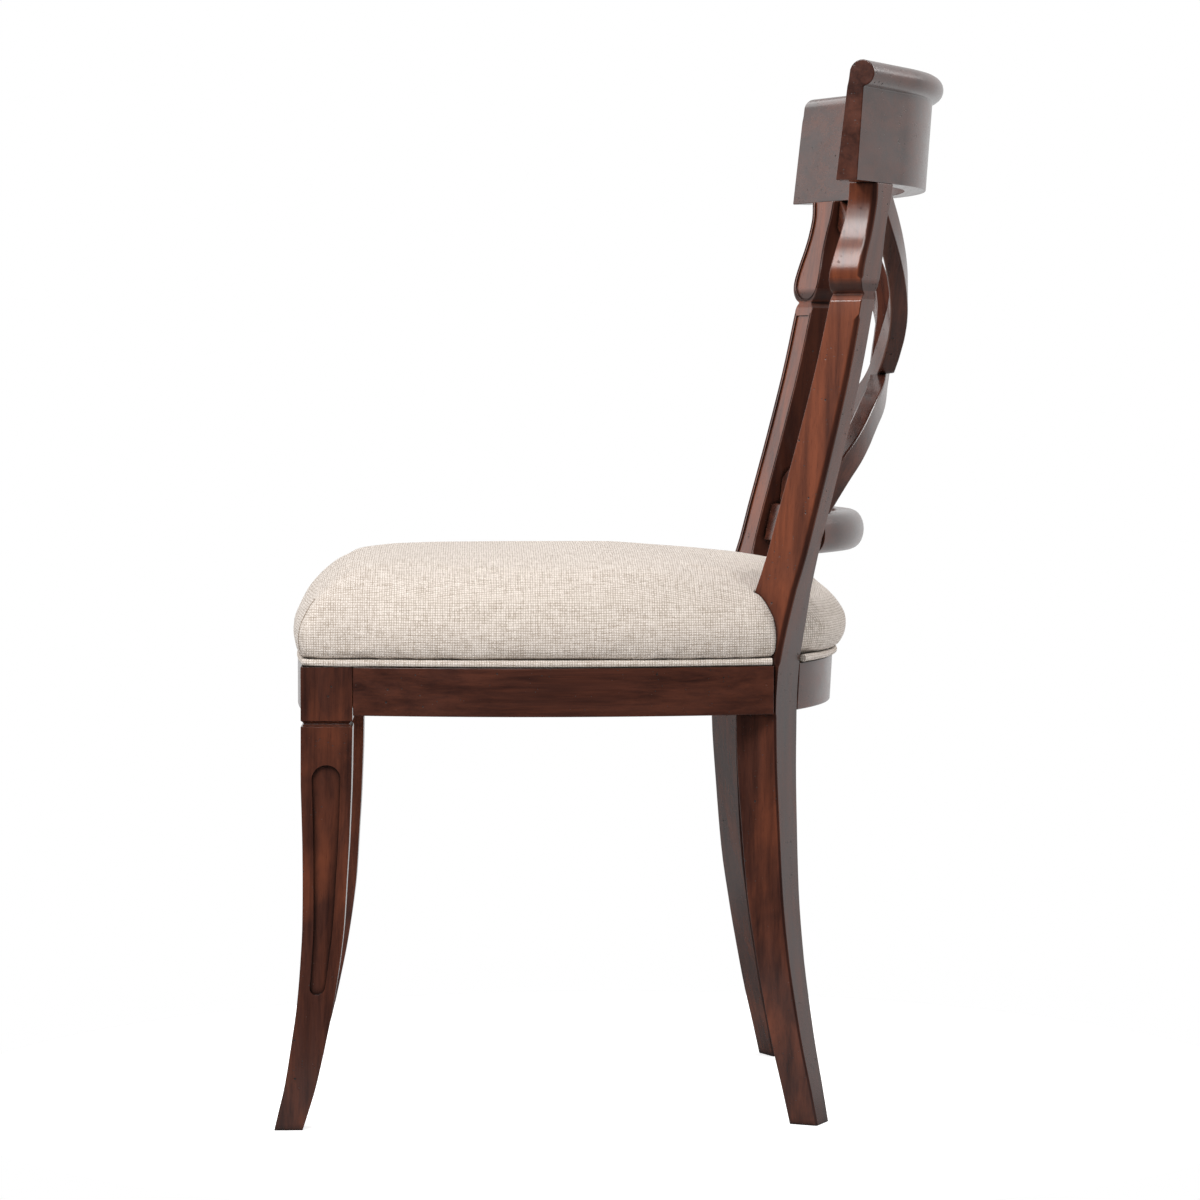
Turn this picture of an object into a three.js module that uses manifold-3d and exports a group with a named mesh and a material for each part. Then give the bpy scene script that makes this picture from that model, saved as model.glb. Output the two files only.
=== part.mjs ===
import * as THREE from "three";
import { mergeVertices } from "three/addons/utils/BufferGeometryUtils.js";
import Module from "manifold-3d";

// A klismos dining chair in millimetres, +Z up, standing on Z = 0. The sitter faces -Y, with +X on the left.
// The back is one curved surface: its plan is an arc with straight ends, and its side view is a raked sweep.

// Clearances
const jointGap = 0.3;
const coverGap = 1;
const overrun = 20;

// Heights above the floor
const railBottom = 360.6;
const railTop = 402.6;
const lowerRailBottom = 498;
const lowerRailTop = 533;
const lipHeight = 724.6;
const crestBottom = 820.6;

// Plan and rake of the back
const backRadius = 355;
const backTurn = THREE.MathUtils.degToRad(26);
const backRear = 198.6;
const backRake = 85.9;
const rearKick = 37.1;

// Rear legs with their stiles
const stileOuter = 212;
const stileWidth = 32;
const stileDepth = 35.8;
const rearLegWidth = 50;
const rearLegDepth = 37.5;
const rearFootWidth = 27;
const rearFootDepth = 26;
const lipDepth = 29.3;
const headDepth = 25.5;
const headSpread = 7.3;

// Front legs
const postOuter = 222;
const postFront = 276;
const postSize = 44.6;
const frontReach = 24.2;
const frontFootDepth = 24.6;
const frontFootWidth = 26;
const frontFootToeIn = 2;
const grooveDrop = 4.4;
const grooveHeight = 5.2;
const grooveDepth = 2.6;
const panelDepth = 2;
const panelTop = 317.8;
const panelBottom = 120;
const panelTopWidth = 25;
const panelBottomWidth = 13.4;
const legArris = 1.4;

// Seat rails
const railThickness = 26;
const sideBow = 25;
const frontBow = 10;
const sideCheek = 4;

// Crest rail
const crestHalf = 254;
const crestThickness = 19.4;
const crestRise = 79.5;
const crestLean = 5.8;
const crestNeck = 15;
const rollRadius = 11.4;
const rollProud = 4.3;
const rollAbove = 90.7;

// Lower back rail and crossed splat
const lowerRailThickness = 29;
const splatReach = 172;
const splatWidth = 24;
const splatThickness = 16;
const splatInset = 4;

// Seat board, foam, cover and welt
const boardThickness = 12;
const boardInset = 10;
const cushionHeight = 98.7;
const cushionCentre = -40;
const coverThickness = 3;
const sideBulge = 5;
const rearBulge = 13.5;
const sideFall = 12;
const sideFallReach = 200;
const rearFall = 10.5;
const rearFallLength = 150;
const seatCornerRadius = 14;
const weltRadius = 3.3;
const dustCoverThickness = 0.8;

// Corner blocks, screws and dowels
const frontBlockReach = 52;
const rearBlockReach = 110;
const blockInset = 5;
const dowelRadius = 4;
const dowelDepth = 20;
const cheekDowelDepth = 8;
const screwRadius = 2;
const screwHeadRadius = 3.8;
const screwHeadHeight = 3;
const screwSink = 7;
const boardScrewBite = 8;

// Outline shares, chosen by hand. Each row starts with its share of the height of its stretch.
// Rear leg, floor to rail: kick, width and depth.
const rearLegShares = [
  [0, 1, 0, 0],
  [0.084, 0.846, 0.087, 0.087],
  [0.187, 0.642, 0.217, 0.174],
  [0.279, 0.49, 0.304, 0.243],
  [0.394, 0.323, 0.413, 0.348],
  [0.556, 0.164, 0.565, 0.609],
  [0.735, 0.075, 0.717, 0.817],
  [0.894, 0.011, 0.913, 0.957],
  [1, 0, 1, 1],
];
// Stile, rail to lower back rail: rake, width and depth.
const neckShares = [
  [0, 0.027, 1, 1],
  [0.3, 0.088, 0.88, 0.9],
  [0.532, 0.149, 0.61, 0.7],
  [0.75, 0.21, 0.33, 0.4],
  [0.904, 0.265, 0.1, 0.1],
  [1, 0.295, 0, 0],
];
// Stile, lower back rail to lip: rake and thinning.
const stileShares = [
  [0.154, 0.395, 0.05],
  [0.224, 0.44, 0.12],
  [0.482, 0.603, 0.37],
  [0.728, 0.743, 0.677],
  [1, 0.866, 1],
];
// Head of the stile, lip to crest: rake, spread of the outer and inner arris, and thinning.
const headShares = [
  [0.025, 0.87, 0.48, 0.44, -0.25],
  [0.073, 0.877, 0.89, 0.74, -0.3],
  [0.208, 0.895, 1, 0.85, -0.18],
  [0.397, 0.923, 0.55, 0.71, 0.16],
  [0.523, 0.941, 0.07, 0.62, 0.39],
  [0.678, 0.962, -0.27, 0.71, 0.74],
  [0.843, 0.984, -0.41, 1.05, 0.95],
  [1, 1, -0.14, 1.33, 1],
];
// Front leg, floor to groove: reach of the front edge and growth of the section.
const frontLegShares = [
  [0, 1, 0],
  [0.052, 0.822, 0.08],
  [0.103, 0.64, 0.13],
  [0.212, 0.38, 0.25],
  [0.319, 0.161, 0.36],
  [0.425, 0.033, 0.49],
  [0.511, -0.033, 0.58],
  [0.62, -0.05, 0.68],
  [0.695, -0.045, 0.77],
  [0.792, -0.016, 0.887],
  [0.867, 0.01, 0.966],
  [1, 0, 1],
];
// Lower back rail section: share of its thickness from the rear face, and of its height.
const lowerRailShares = [
  [0.9, 0],
  [0.36, 0],
  [0.11, 0.1],
  [0, 0.31],
  [0, 0.69],
  [0.11, 0.9],
  [0.36, 1],
  [0.9, 1],
  [1, 0.91],
  [1, 0.09],
];
// Splat bar: share of the reach to either side, and of the height of the back opening.
const splatShares = [
  [-1.12, -0.02],
  [-0.965, 0.104],
  [-0.826, 0.18],
  [-0.547, 0.294],
  [0, 0.419],
  [0.349, 0.606],
  [0.698, 0.775],
  [1.14, 1.03],
];
// Cushion: share of the way to the middle, of the height, and of the bulge.
const cushionShares = [
  [0, 0.085, 0.4],
  [0, 0.22, 1],
  [0, 0.36, 0.6],
  [0.016, 0.5, 0.2],
  [0.037, 0.62, 0],
  [0.078, 0.74, 0],
  [0.115, 0.82, 0],
  [0.155, 0.89, 0],
  [0.225, 0.945, 0],
  [0.34, 0.98, 0],
  [0.6, 1, 0],
];
// The foam follows every second row of the cushion, from the first one above the board.
const foamShares = cushionShares.filter((_, k) => k % 2 === 1);
const splatLapShare = 0.5;
// The roll starts a little above its lowest point, as a share of half a turn.
const rollStartShare = 0.43;
// Rows of dowels in a rail joint, as shares of the height of the rail
const dowelRowShares = [0.25, 0.75];
// How far the crest leans at its dowels, as a share of its whole lean
const crestDowelLeanShare = 0.25;
// Screws into the two rails, as shares of the open face of the block
const railScrewShares = [0.3, 0.7];
// Seat screws: share of the way along the open face of the block, and in towards the leg.
const frontSeatScrewShares = [0.5, 0.15];
const rearSeatScrewShares = [0.35, 0.3];
// Where the rear block meets the side of the leg, as a share of the depth of the leg
const rearBlockLapShare = 0.125;
const weltSides = 6;
const arcSteps = 14;
const splatSteps = 22;
const rollSteps = 9;
const sideSteps = 9;
const rearSteps = 6;
const roundSides = 10;

const wasm = await Module();
wasm.setup();

// Closed solid skinned over rings of like points, whose two ends are filled by the flat section.
function skin(rings, section) {
  const count = section.length;
  const last = (rings.length - 1) * count;
  const index = [];
  for (let r = 0; r < last; r += count) {
    for (let k = 0; k < count; k += 1) {
      const next = (k + 1) % count;
      index.push(r + k, r + next, r + count + next);
      index.push(r + k, r + count + next, r + count + k);
    }
  }
  for (const [a, b, c] of THREE.ShapeUtils.triangulateShape(section, [])) {
    index.push(c, b, a);
    index.push(last + a, last + b, last + c);
  }
  return facingOut(rings.flat(), index);
}

function facingOut(points, index) {
  const cross = new THREE.Vector3();
  let volume = 0;
  for (let k = 0; k < index.length; k += 3) {
    cross.crossVectors(points[index[k + 1]], points[index[k + 2]]);
    volume += points[index[k]].dot(cross);
  }
  const triVerts = Uint32Array.from(volume > 0 ? index : index.reverse());
  const vertProperties = Float32Array.from(points.flatMap((p) => [p.x, p.y, p.z]));
  return new wasm.Manifold(new wasm.Mesh({ numProp: 3, vertProperties, triVerts }));
}

function solidOf(geometry) {
  geometry.deleteAttribute("normal");
  geometry.deleteAttribute("uv");
  const merged = mergeVertices(geometry);
  const vertProperties = Float32Array.from(merged.getAttribute("position").array);
  const triVerts = Uint32Array.from(merged.getIndex().array);
  return new wasm.Manifold(new wasm.Mesh({ numProp: 3, vertProperties, triVerts }));
}

function cut(solid, ...tools) {
  return tools.reduce((left, tool) => left.subtract(tool), solid);
}

// Upright prism over a plan outline.
function prism(outline, low, high) {
  const section = outline.map(([x, y]) => new THREE.Vector2(x, y));
  const rings = [low, high].map((z) => outline.map(([x, y]) => new THREE.Vector3(x, y, z)));
  return skin(rings, section);
}

// Round bar between two points.
function roundBar(from, to, radius) {
  const bar = new THREE.CylinderGeometry(radius, radius, from.distanceTo(to), roundSides);
  const turn = new THREE.Quaternion();
  turn.setFromUnitVectors(new THREE.Vector3(0, 1, 0), to.clone().sub(from).normalize());
  bar.applyQuaternion(turn);
  const middle = from.clone().lerp(to, 0.5);
  bar.translate(middle.x, middle.y, middle.z);
  return solidOf(bar);
}

function mirrored(points) {
  return points.map((p) => new THREE.Vector3(-p.x, p.y, p.z));
}

function mix(a, b, share) {
  return a + (b - a) * share;
}

// The curved back
const cosTurn = Math.cos(backTurn);
const sinTurn = Math.sin(backTurn);
const arcHalf = backRadius * sinTurn;

function planTurn(x) {
  return THREE.MathUtils.clamp(Math.asin(THREE.MathUtils.clamp(x / backRadius, -1, 1)), -backTurn, backTurn);
}

function planDrop(x) {
  const reach = Math.min(Math.abs(x), arcHalf);
  const past = Math.abs(x) - reach;
  return backRadius - Math.sqrt(backRadius ** 2 - reach ** 2) + past * Math.tan(backTurn);
}

// Point beside a rear face whose middle lies at rear. A negative offset is inside the wood.
function backPoint(x, rear, offset, z) {
  const turn = planTurn(x);
  return new THREE.Vector3(x + Math.sin(turn) * offset, rear - planDrop(x) + Math.cos(turn) * offset, z);
}

function backStations(half) {
  const stations = [-half];
  for (let k = 0; k <= arcSteps; k += 1) {
    stations.push(backRadius * Math.sin(mix(-backTurn, backTurn, k / arcSteps)));
  }
  stations.push(half);
  return stations;
}

function sweepAcross(section, half, rearAtHeight) {
  const flat = section.map(([offset, z]) => new THREE.Vector2(offset, z));
  const rings = backStations(half).map((x) =>
    section.map(([offset, z]) => backPoint(x, rearAtHeight(z), offset, z)));
  return skin(rings, flat);
}

// Rear legs with their stiles, as levels from floor to crest
const stileInner = stileOuter - stileWidth * cosTurn;
const rearLegInner = stileOuter - rearLegWidth * cosTurn;

function rearLegLevels() {
  const levels = [];
  for (const [up, kick, wide, deep] of rearLegShares) {
    levels.push({
      z: up * railBottom,
      rear: backRear + kick * rearKick,
      outer: stileOuter,
      inner: stileOuter - mix(rearFootWidth, rearLegWidth, wide) * cosTurn,
      depth: mix(rearFootDepth, rearLegDepth, deep),
    });
  }
  for (const [up, rake, wide, deep] of neckShares) {
    levels.push({
      z: mix(railTop, lowerRailBottom, up),
      rear: backRear + rake * backRake,
      outer: stileOuter,
      inner: stileOuter - mix(stileWidth, rearLegWidth, wide) * cosTurn,
      depth: mix(stileDepth, rearLegDepth, deep),
    });
  }
  for (const [up, rake, thin] of stileShares) {
    levels.push({
      z: mix(lowerRailBottom, lipHeight, up),
      rear: backRear + rake * backRake,
      outer: stileOuter,
      inner: stileInner,
      depth: mix(stileDepth, lipDepth, thin),
    });
  }
  for (const [up, rake, outward, inward, thin] of headShares) {
    levels.push({
      z: mix(lipHeight, crestBottom, up),
      rear: backRear + rake * backRake,
      outer: stileOuter + outward * headSpread,
      inner: stileInner - inward * headSpread,
      depth: mix(lipDepth, headDepth, thin),
    });
  }
  return levels;
}

const legLevels = rearLegLevels();

// Rear face of the back at the middle of the chair, at any height of the legs
function rearAt(z) {
  const above = legLevels.findIndex((level) => level.z > z);
  if (above < 1) return (above < 0 ? legLevels[legLevels.length - 1] : legLevels[0]).rear;
  const low = legLevels[above - 1];
  const high = legLevels[above];
  return mix(low.rear, high.rear, (z - low.z) / (high.z - low.z));
}

// Four corners in order, each taken off by the arris
function chamfered(corners, arris) {
  return corners.flatMap((corner, k) => {
    const before = corners[(k + 3) % 4];
    const after = corners[(k + 1) % 4];
    return [before, after].map((other) => {
      const step = other.clone().sub(corner).setLength(arris);
      return corner.clone().add(step);
    });
  });
}

// grow swells the leg on every side, and behind lets the clearance run out at the back.
function rearLeg(grow, behind) {
  const rings = legLevels.map(({ z, rear, outer, inner, depth }) => {
    const corner = (x, along, offset) => {
      const point = backPoint(x, rear, offset, z);
      return point.add(new THREE.Vector3(cosTurn * along, -sinTurn * along, 0));
    };
    return chamfered([
      corner(outer, grow, grow + behind),
      corner(inner, -grow, grow + behind),
      corner(inner, -grow, -depth - grow),
      corner(outer, grow, -depth - grow),
    ], legArris);
  });
  return skin(rings, rings[0].map((p) => new THREE.Vector2(p.x, p.y)));
}

// Front legs
const grooveTop = railBottom - grooveDrop;
const grooveBottom = grooveTop - grooveHeight;
const frontPostInner = postOuter - postSize;
const frontPostRear = postSize - postFront;

function frontLegLevels() {
  const levels = frontLegShares.map(([up, reach, grown]) => ({
    z: up * grooveBottom,
    front: -postFront - reach * frontReach,
    depth: mix(frontFootDepth, postSize, grown),
    width: mix(frontFootWidth, postSize, grown),
    toeIn: mix(frontFootToeIn, 0, grown),
    inset: 0,
  }));
  const post = { front: -postFront, depth: postSize, width: postSize, toeIn: 0 };
  levels.push({ ...post, z: (grooveBottom + grooveTop) / 2, inset: grooveDepth });
  levels.push({ ...post, z: grooveTop, inset: 0 });
  levels.push({ ...post, z: railTop, inset: 0 });
  return levels;
}

function frontLegRings(shrink) {
  return frontLegLevels().map(({ z, front, depth, width, toeIn, inset }) => {
    const off = inset + shrink;
    const outer = postOuter - toeIn - off;
    const inner = postOuter - toeIn - width + off;
    const low = front + off;
    const high = front + depth - off;
    const corners = [[outer, low], [outer, high], [inner, high], [inner, low]];
    return chamfered(corners.map(([x, y]) => new THREE.Vector3(x, y, z)), legArris);
  });
}

// Sunk panels: an arched outline that tapers with the leg, taken down by panelDepth.
function frontLegPanelOutline() {
  const levels = frontLegLevels().filter(({ z }) => z > panelBottom && z < panelTop - panelTopWidth / 2);
  const middles = levels.map(({ z, front, depth, width, toeIn }) => ({
    z,
    alongY: front + depth / 2,
    alongX: postOuter - toeIn - width / 2,
    half: mix(panelBottomWidth, panelTopWidth, (z - panelBottom) / (panelTop - panelBottom)) / 2,
  }));
  return middles;
}

function frontLegPanel(pick, at) {
  const rows = frontLegPanelOutline();
  const top = rows[rows.length - 1];
  const bottom = rows[0];
  const arch = (row, up) => {
    const points = [];
    for (let k = 1; k < rollSteps; k += 1) {
      const turn = Math.PI * (k / rollSteps);
      const z = row.z + up * Math.sin(turn) * row.half;
      points.push([row[pick] + up * Math.cos(turn) * row.half, z]);
    }
    return points;
  };
  const outline = [
    ...rows.map((row) => [row[pick] + row.half, row.z]),
    ...arch(top, 1),
    ...rows.map((row) => [row[pick] - row.half, row.z]).reverse(),
    ...arch(bottom, -1),
  ];
  const flat = outline.map(([a, z]) => new THREE.Vector2(a, z));
  return skin(at.map((place) => outline.map(([a, z]) => place(a, z))), flat);
}

function frontLeg() {
  const rings = frontLegRings(0);
  const flat = rings[0].map((p) => new THREE.Vector2(p.x, p.y));
  const body = skin(rings, flat);
  const core = skin(frontLegRings(panelDepth), flat);
  const sidePanel = frontLegPanel("alongY", [
    (y, z) => new THREE.Vector3(postOuter - postSize / 2, y, z),
    (y, z) => new THREE.Vector3(postOuter + overrun, y, z),
  ]);
  const frontPanel = frontLegPanel("alongX", [
    (x, z) => new THREE.Vector3(x, -postFront + postSize / 2, z),
    (x, z) => new THREE.Vector3(x, -postFront - frontReach - overrun, z),
  ]);
  return cut(body, cut(sidePanel, core), cut(frontPanel, core));
}

// Seat rails. grow swells a rail sideways for the clearance of the corner blocks.
const sideRailFront = frontPostRear + jointGap;
const cheekX = stileOuter + sideCheek * cosTurn;
const cheekY = backRear - planDrop(stileOuter) - sideCheek * sinTurn;

function sideLine(y) {
  const share = THREE.MathUtils.clamp((y - sideRailFront) / (cheekY - sideRailFront), 0, 1);
  return mix(postOuter, cheekX, share) + sideBow * 4 * share * (1 - share);
}

function sideRail(grow) {
  const outer = [];
  for (let k = 0; k <= sideSteps; k += 1) {
    const y = mix(sideRailFront - grow, cheekY, k / sideSteps);
    outer.push([sideLine(y) + grow, y]);
  }
  const inner = outer.map(([x, y]) => [x - railThickness - 2 * grow, y]).reverse();
  inner[0] = [cheekX - railThickness, cheekY + railThickness * Math.tan(backTurn)];
  return prism([...outer, ...inner], railBottom, railTop);
}

function frontLine(x) {
  return -postFront - frontBow * (1 - (x / frontPostInner) ** 2);
}

function frontRail(grow) {
  const half = frontPostInner - jointGap;
  const front = [];
  for (let k = 0; k <= sideSteps; k += 1) {
    const x = mix(-half, half, k / sideSteps);
    front.push([x, frontLine(x) - grow]);
  }
  const back = front.map(([x, y]) => [x, y + railThickness + 2 * grow]).reverse();
  return prism([...front, ...back], railBottom, railTop);
}

function rearRail(grow) {
  const half = rearLegInner - jointGap * cosTurn + grow;
  const section = [
    [grow, railBottom],
    [grow, railTop],
    [-railThickness - grow, railTop],
    [-railThickness - grow, railBottom],
  ];
  return sweepAcross(section, half, rearAt);
}

// Crest rail: a leaning plate with a roll along its top edge
function crestRail() {
  const section = [
    [-crestThickness, crestBottom],
    [0, crestBottom],
    [crestLean, crestBottom + crestRise],
  ];
  const start = -Math.PI * rollStartShare;
  for (let k = 0; k <= rollSteps; k += 1) {
    const turn = mix(start, Math.PI, k / rollSteps);
    const z = crestBottom + rollAbove + rollRadius * Math.sin(turn);
    section.push([rollProud + rollRadius * Math.cos(turn), z]);
  }
  section.push([crestLean - crestNeck, crestBottom + crestRise]);
  return sweepAcross(section, crestHalf, () => rearAt(crestBottom));
}

function lowerBackRail() {
  const section = lowerRailShares.map(([inward, up]) =>
    [-inward * lowerRailThickness, mix(lowerRailBottom, lowerRailTop, up)]);
  return sweepAcross(section, stileInner - jointGap * cosTurn, rearAt);
}

// Splat bars: one runs up to the left and one up to the right, halved where they cross.
function splatSweep(side, halfWidth, rearOffset, frontOffset) {
  const controls = splatShares.map(([across, up]) =>
    new THREE.Vector3(side * across * splatReach, mix(lowerRailTop, crestBottom, up), 0));
  const path = new THREE.CatmullRomCurve3(controls);
  const rings = [];
  for (let k = 0; k <= splatSteps; k += 1) {
    const point = path.getPointAt(k / splatSteps);
    const along = path.getTangentAt(k / splatSteps);
    const edge = (way, offset) => {
      const x = point.x - way * halfWidth * along.y;
      const z = point.y + way * halfWidth * along.x;
      return backPoint(x, rearAt(z), offset, z);
    };
    rings.push([edge(1, rearOffset), edge(-1, rearOffset), edge(-1, frontOffset), edge(1, frontOffset)]);
  }
  const flat = [[0, 0], [1, 0], [1, 1], [0, 1]].map(([x, y]) => new THREE.Vector2(x, y));
  return skin(rings, flat);
}

function splatBar(side) {
  const rear = -splatInset;
  const front = -splatInset - splatThickness;
  const lap = mix(rear, front, splatLapShare);
  const half = splatWidth / 2;
  const bar = splatSweep(side, half, rear, front);
  const lapCut = side > 0
    ? splatSweep(-side, half + jointGap, rear + overrun, lap - jointGap / 2)
    : splatSweep(-side, half + jointGap, lap + jointGap / 2, front - overrun);
  const far = crestHalf + overrun;
  const frame = [[-far, -far], [far, -far], [far, far], [-far, far]];
  const aboveCrest = prism(frame, crestBottom - jointGap, crestBottom + crestHalf);
  const belowRail = prism(frame, lowerRailBottom - overrun, lowerRailTop + jointGap);
  const stile = rearLeg(jointGap, 0);
  return cut(bar, lapCut, aboveCrest, belowRail, stile, otherSide(stile));
}

function otherSide(solid) {
  const mesh = solid.getMesh();
  const points = [];
  for (let k = 0; k < mesh.vertProperties.length; k += mesh.numProp) {
    points.push(new THREE.Vector3().fromArray(mesh.vertProperties, k));
  }
  return facingOut(mirrored(points), Array.from(mesh.triVerts));
}

// Seat: the outline of the frame, from the middle of the front round to the middle of the back
function halfSeatOutline() {
  const points = [];
  const corner = postOuter - seatCornerRadius;
  for (let k = 0; k < rearSteps - 1; k += 1) {
    const x = (corner * k) / (rearSteps - 1);
    points.push([x, -postFront - frontBow * (1 - (x / corner) ** 2)]);
  }
  for (let k = 0; k <= 2; k += 1) {
    const turn = (Math.PI / 2) * (k / 2 - 1);
    const y = seatCornerRadius - postFront + seatCornerRadius * Math.sin(turn);
    points.push([corner + seatCornerRadius * Math.cos(turn), y]);
  }
  for (let k = 0; k <= sideSteps; k += 1) {
    const y = mix(sideRailFront, cheekY, k / sideSteps);
    points.push([sideLine(y), y]);
  }
  for (let k = 1; k <= rearSteps; k += 1) {
    const x = stileOuter * (1 - k / rearSteps);
    points.push([x, backRear - planDrop(x)]);
  }
  return points;
}

const halfOutline = halfSeatOutline();
const seatOutline = [...halfOutline, ...halfOutline.slice(1, -1).reverse().map(([x, y]) => [-x, y])];

function outlineNormal(k) {
  const count = seatOutline.length;
  const [ax, ay] = seatOutline[(k + count - 1) % count];
  const [bx, by] = seatOutline[(k + 1) % count];
  return new THREE.Vector2(by - ay, ax - bx).normalize();
}

function offsetOutline(offset) {
  return seatOutline.map(([x, y], k) => {
    const normal = outlineNormal(k);
    return [x + normal.x * offset, y + normal.y * offset];
  });
}

// One ring of the cushion: drawn towards the middle by inward, bulged out, and crowned.
function cushionRing([inward, up, bulged], shrink) {
  return seatOutline.map(([x, y], k) => {
    const normal = outlineNormal(k);
    const bulge = bulged * mix(sideBulge, rearBulge, Math.max(0, normal.y)) - shrink;
    const px = mix(x + normal.x * bulge, 0, inward);
    const py = mix(y + normal.y * bulge, cushionCentre, inward);
    const toRear = THREE.MathUtils.clamp(py / rearFallLength, 0, 1);
    const fall = rearFall * toRear + sideFall * (px / sideFallReach) ** 2;
    return new THREE.Vector3(px, py, railTop + up * (cushionHeight - fall * up) - shrink * up);
  });
}

const boardTop = railTop + boardThickness;
const stileClear = rearLeg(coverGap, overrun);
const stileWide = rearLeg(coverGap + coverThickness, overrun);
const stileWider = rearLeg(coverGap + coverThickness - jointGap, overrun);
const flatOutline = seatOutline.map(([x, y]) => new THREE.Vector2(x, y));

function atHeight(outline, z) {
  return outline.map(([x, y]) => new THREE.Vector3(x, y, z));
}

const weltHeight = railTop + weltRadius + jointGap;
const weltTuck = 2 * (weltRadius + jointGap);

function seatCover() {
  const rings = [
    atHeight(offsetOutline(-weltTuck), railTop + jointGap),
    atHeight(offsetOutline(-weltTuck), railTop + weltTuck),
    ...cushionShares.map((row) => cushionRing(row, 0)),
  ];
  const form = skin(rings, flatOutline);
  const pocket = cut(foamForm(coverThickness - jointGap, boardTop), stileWider, otherSide(stileWider));
  const boardRoom = cut(
    prism(offsetOutline(jointGap - boardInset), railTop - overrun, boardTop + 2 * jointGap),
    stileWider,
    otherSide(stileWider),
  );
  return cut(form, stileClear, otherSide(stileClear), pocket, boardRoom);
}

function foamForm(shrink, bottom) {
  const rings = [
    atHeight(offsetOutline(-shrink), bottom),
    ...foamShares.map((row) => cushionRing(row, shrink)),
  ];
  return skin(rings, flatOutline);
}

function seatFoam() {
  return cut(foamForm(coverThickness, boardTop + jointGap), stileWide, otherSide(stileWide));
}

function seatBoard() {
  const board = prism(offsetOutline(-boardInset), railTop, boardTop);
  return cut(board, stileWide, otherSide(stileWide));
}

// Welt: a piped edge along the foot of the cushion, over part of the outline
function welt(points) {
  const path = new THREE.CatmullRomCurve3(points);
  const steps = points.length - 1;
  const rings = [];
  for (let k = 0; k <= steps; k += 1) {
    const point = path.getPoint(k / steps);
    const along = path.getTangent(k / steps);
    const out = new THREE.Vector3(along.y, -along.x, 0).normalize();
    const ring = [];
    for (let s = 0; s < weltSides; s += 1) {
      const turn = 2 * Math.PI * ((s + 0.5) / weltSides);
      const place = point.clone().addScaledVector(out, weltRadius * Math.cos(turn));
      place.z += weltRadius * Math.sin(turn);
      ring.push(place);
    }
    rings.push(ring);
  }
  const flat = rings[0].map((_, s) => {
    const turn = 2 * Math.PI * (s / weltSides);
    return new THREE.Vector2(Math.cos(turn), Math.sin(turn));
  });
  return skin(rings, flat);
}

const weltPath = atHeight(offsetOutline(jointGap - weltRadius), weltHeight);
const sideEnd = halfOutline.length - rearSteps - 1;

function frontWelt() {
  const right = weltPath.slice(weltPath.length - sideEnd);
  const left = weltPath.slice(0, sideEnd + 1);
  return welt([...right, ...left]);
}

function rearWelt() {
  const half = rearLegInner - coverGap - weltRadius;
  const end = (x) => backPoint(x, backRear, jointGap - weltRadius, weltHeight);
  const between = weltPath.slice(sideEnd, weltPath.length - sideEnd).filter(({ x }) => Math.abs(x) < half);
  return welt([end(half), ...between, end(-half)]);
}

// Corner blocks fill the corners of the frame between the centre lines of the rails.
const blockBottom = railBottom + blockInset;
const blockTop = railTop - blockInset;
const railMiddle = (railBottom + railTop) / 2;

function sideRailMiddle(y) {
  return [sideLine(y) - railThickness / 2, y];
}

function rearRailMiddle(x) {
  const { x: px, y: py } = backPoint(x, backRear, -railThickness / 2, 0);
  return [px, py];
}

function frontBlockOutline() {
  const reach = frontPostInner - frontBlockReach;
  return [
    [reach, frontLine(reach) + railThickness / 2],
    [frontPostInner - railThickness / 2, frontLine(frontPostInner) + railThickness / 2],
    [frontPostInner + postSize / 2, frontPostRear - postSize / 2],
    sideRailMiddle(frontPostRear + railThickness / 2),
    sideRailMiddle(frontPostRear + frontBlockReach),
  ];
}

function rearBlockOutline() {
  const centre = backPoint(stileOuter - (rearLegWidth / 2) * cosTurn, backRear, -rearLegDepth / 2, 0);
  const legFront = backPoint(stileOuter, backRear, -rearLegDepth, 0).y;
  return [
    sideRailMiddle(legFront - rearBlockReach / 2),
    sideRailMiddle(legFront + rearLegDepth * rearBlockLapShare),
    [centre.x, centre.y],
    rearRailMiddle(rearLegInner - railThickness / 2),
    rearRailMiddle(rearLegInner - rearBlockReach),
  ];
}

function postRoom(clearance) {
  const low = -postFront - clearance;
  const high = frontPostRear + clearance;
  const inner = frontPostInner - clearance;
  const outer = postOuter + clearance;
  return prism([[inner, low], [outer, low], [outer, high], [inner, high]], railBottom, railTop);
}

function cornerBlock(outline, ...room) {
  return cut(prism(outline, blockBottom, blockTop), ...room);
}

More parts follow.
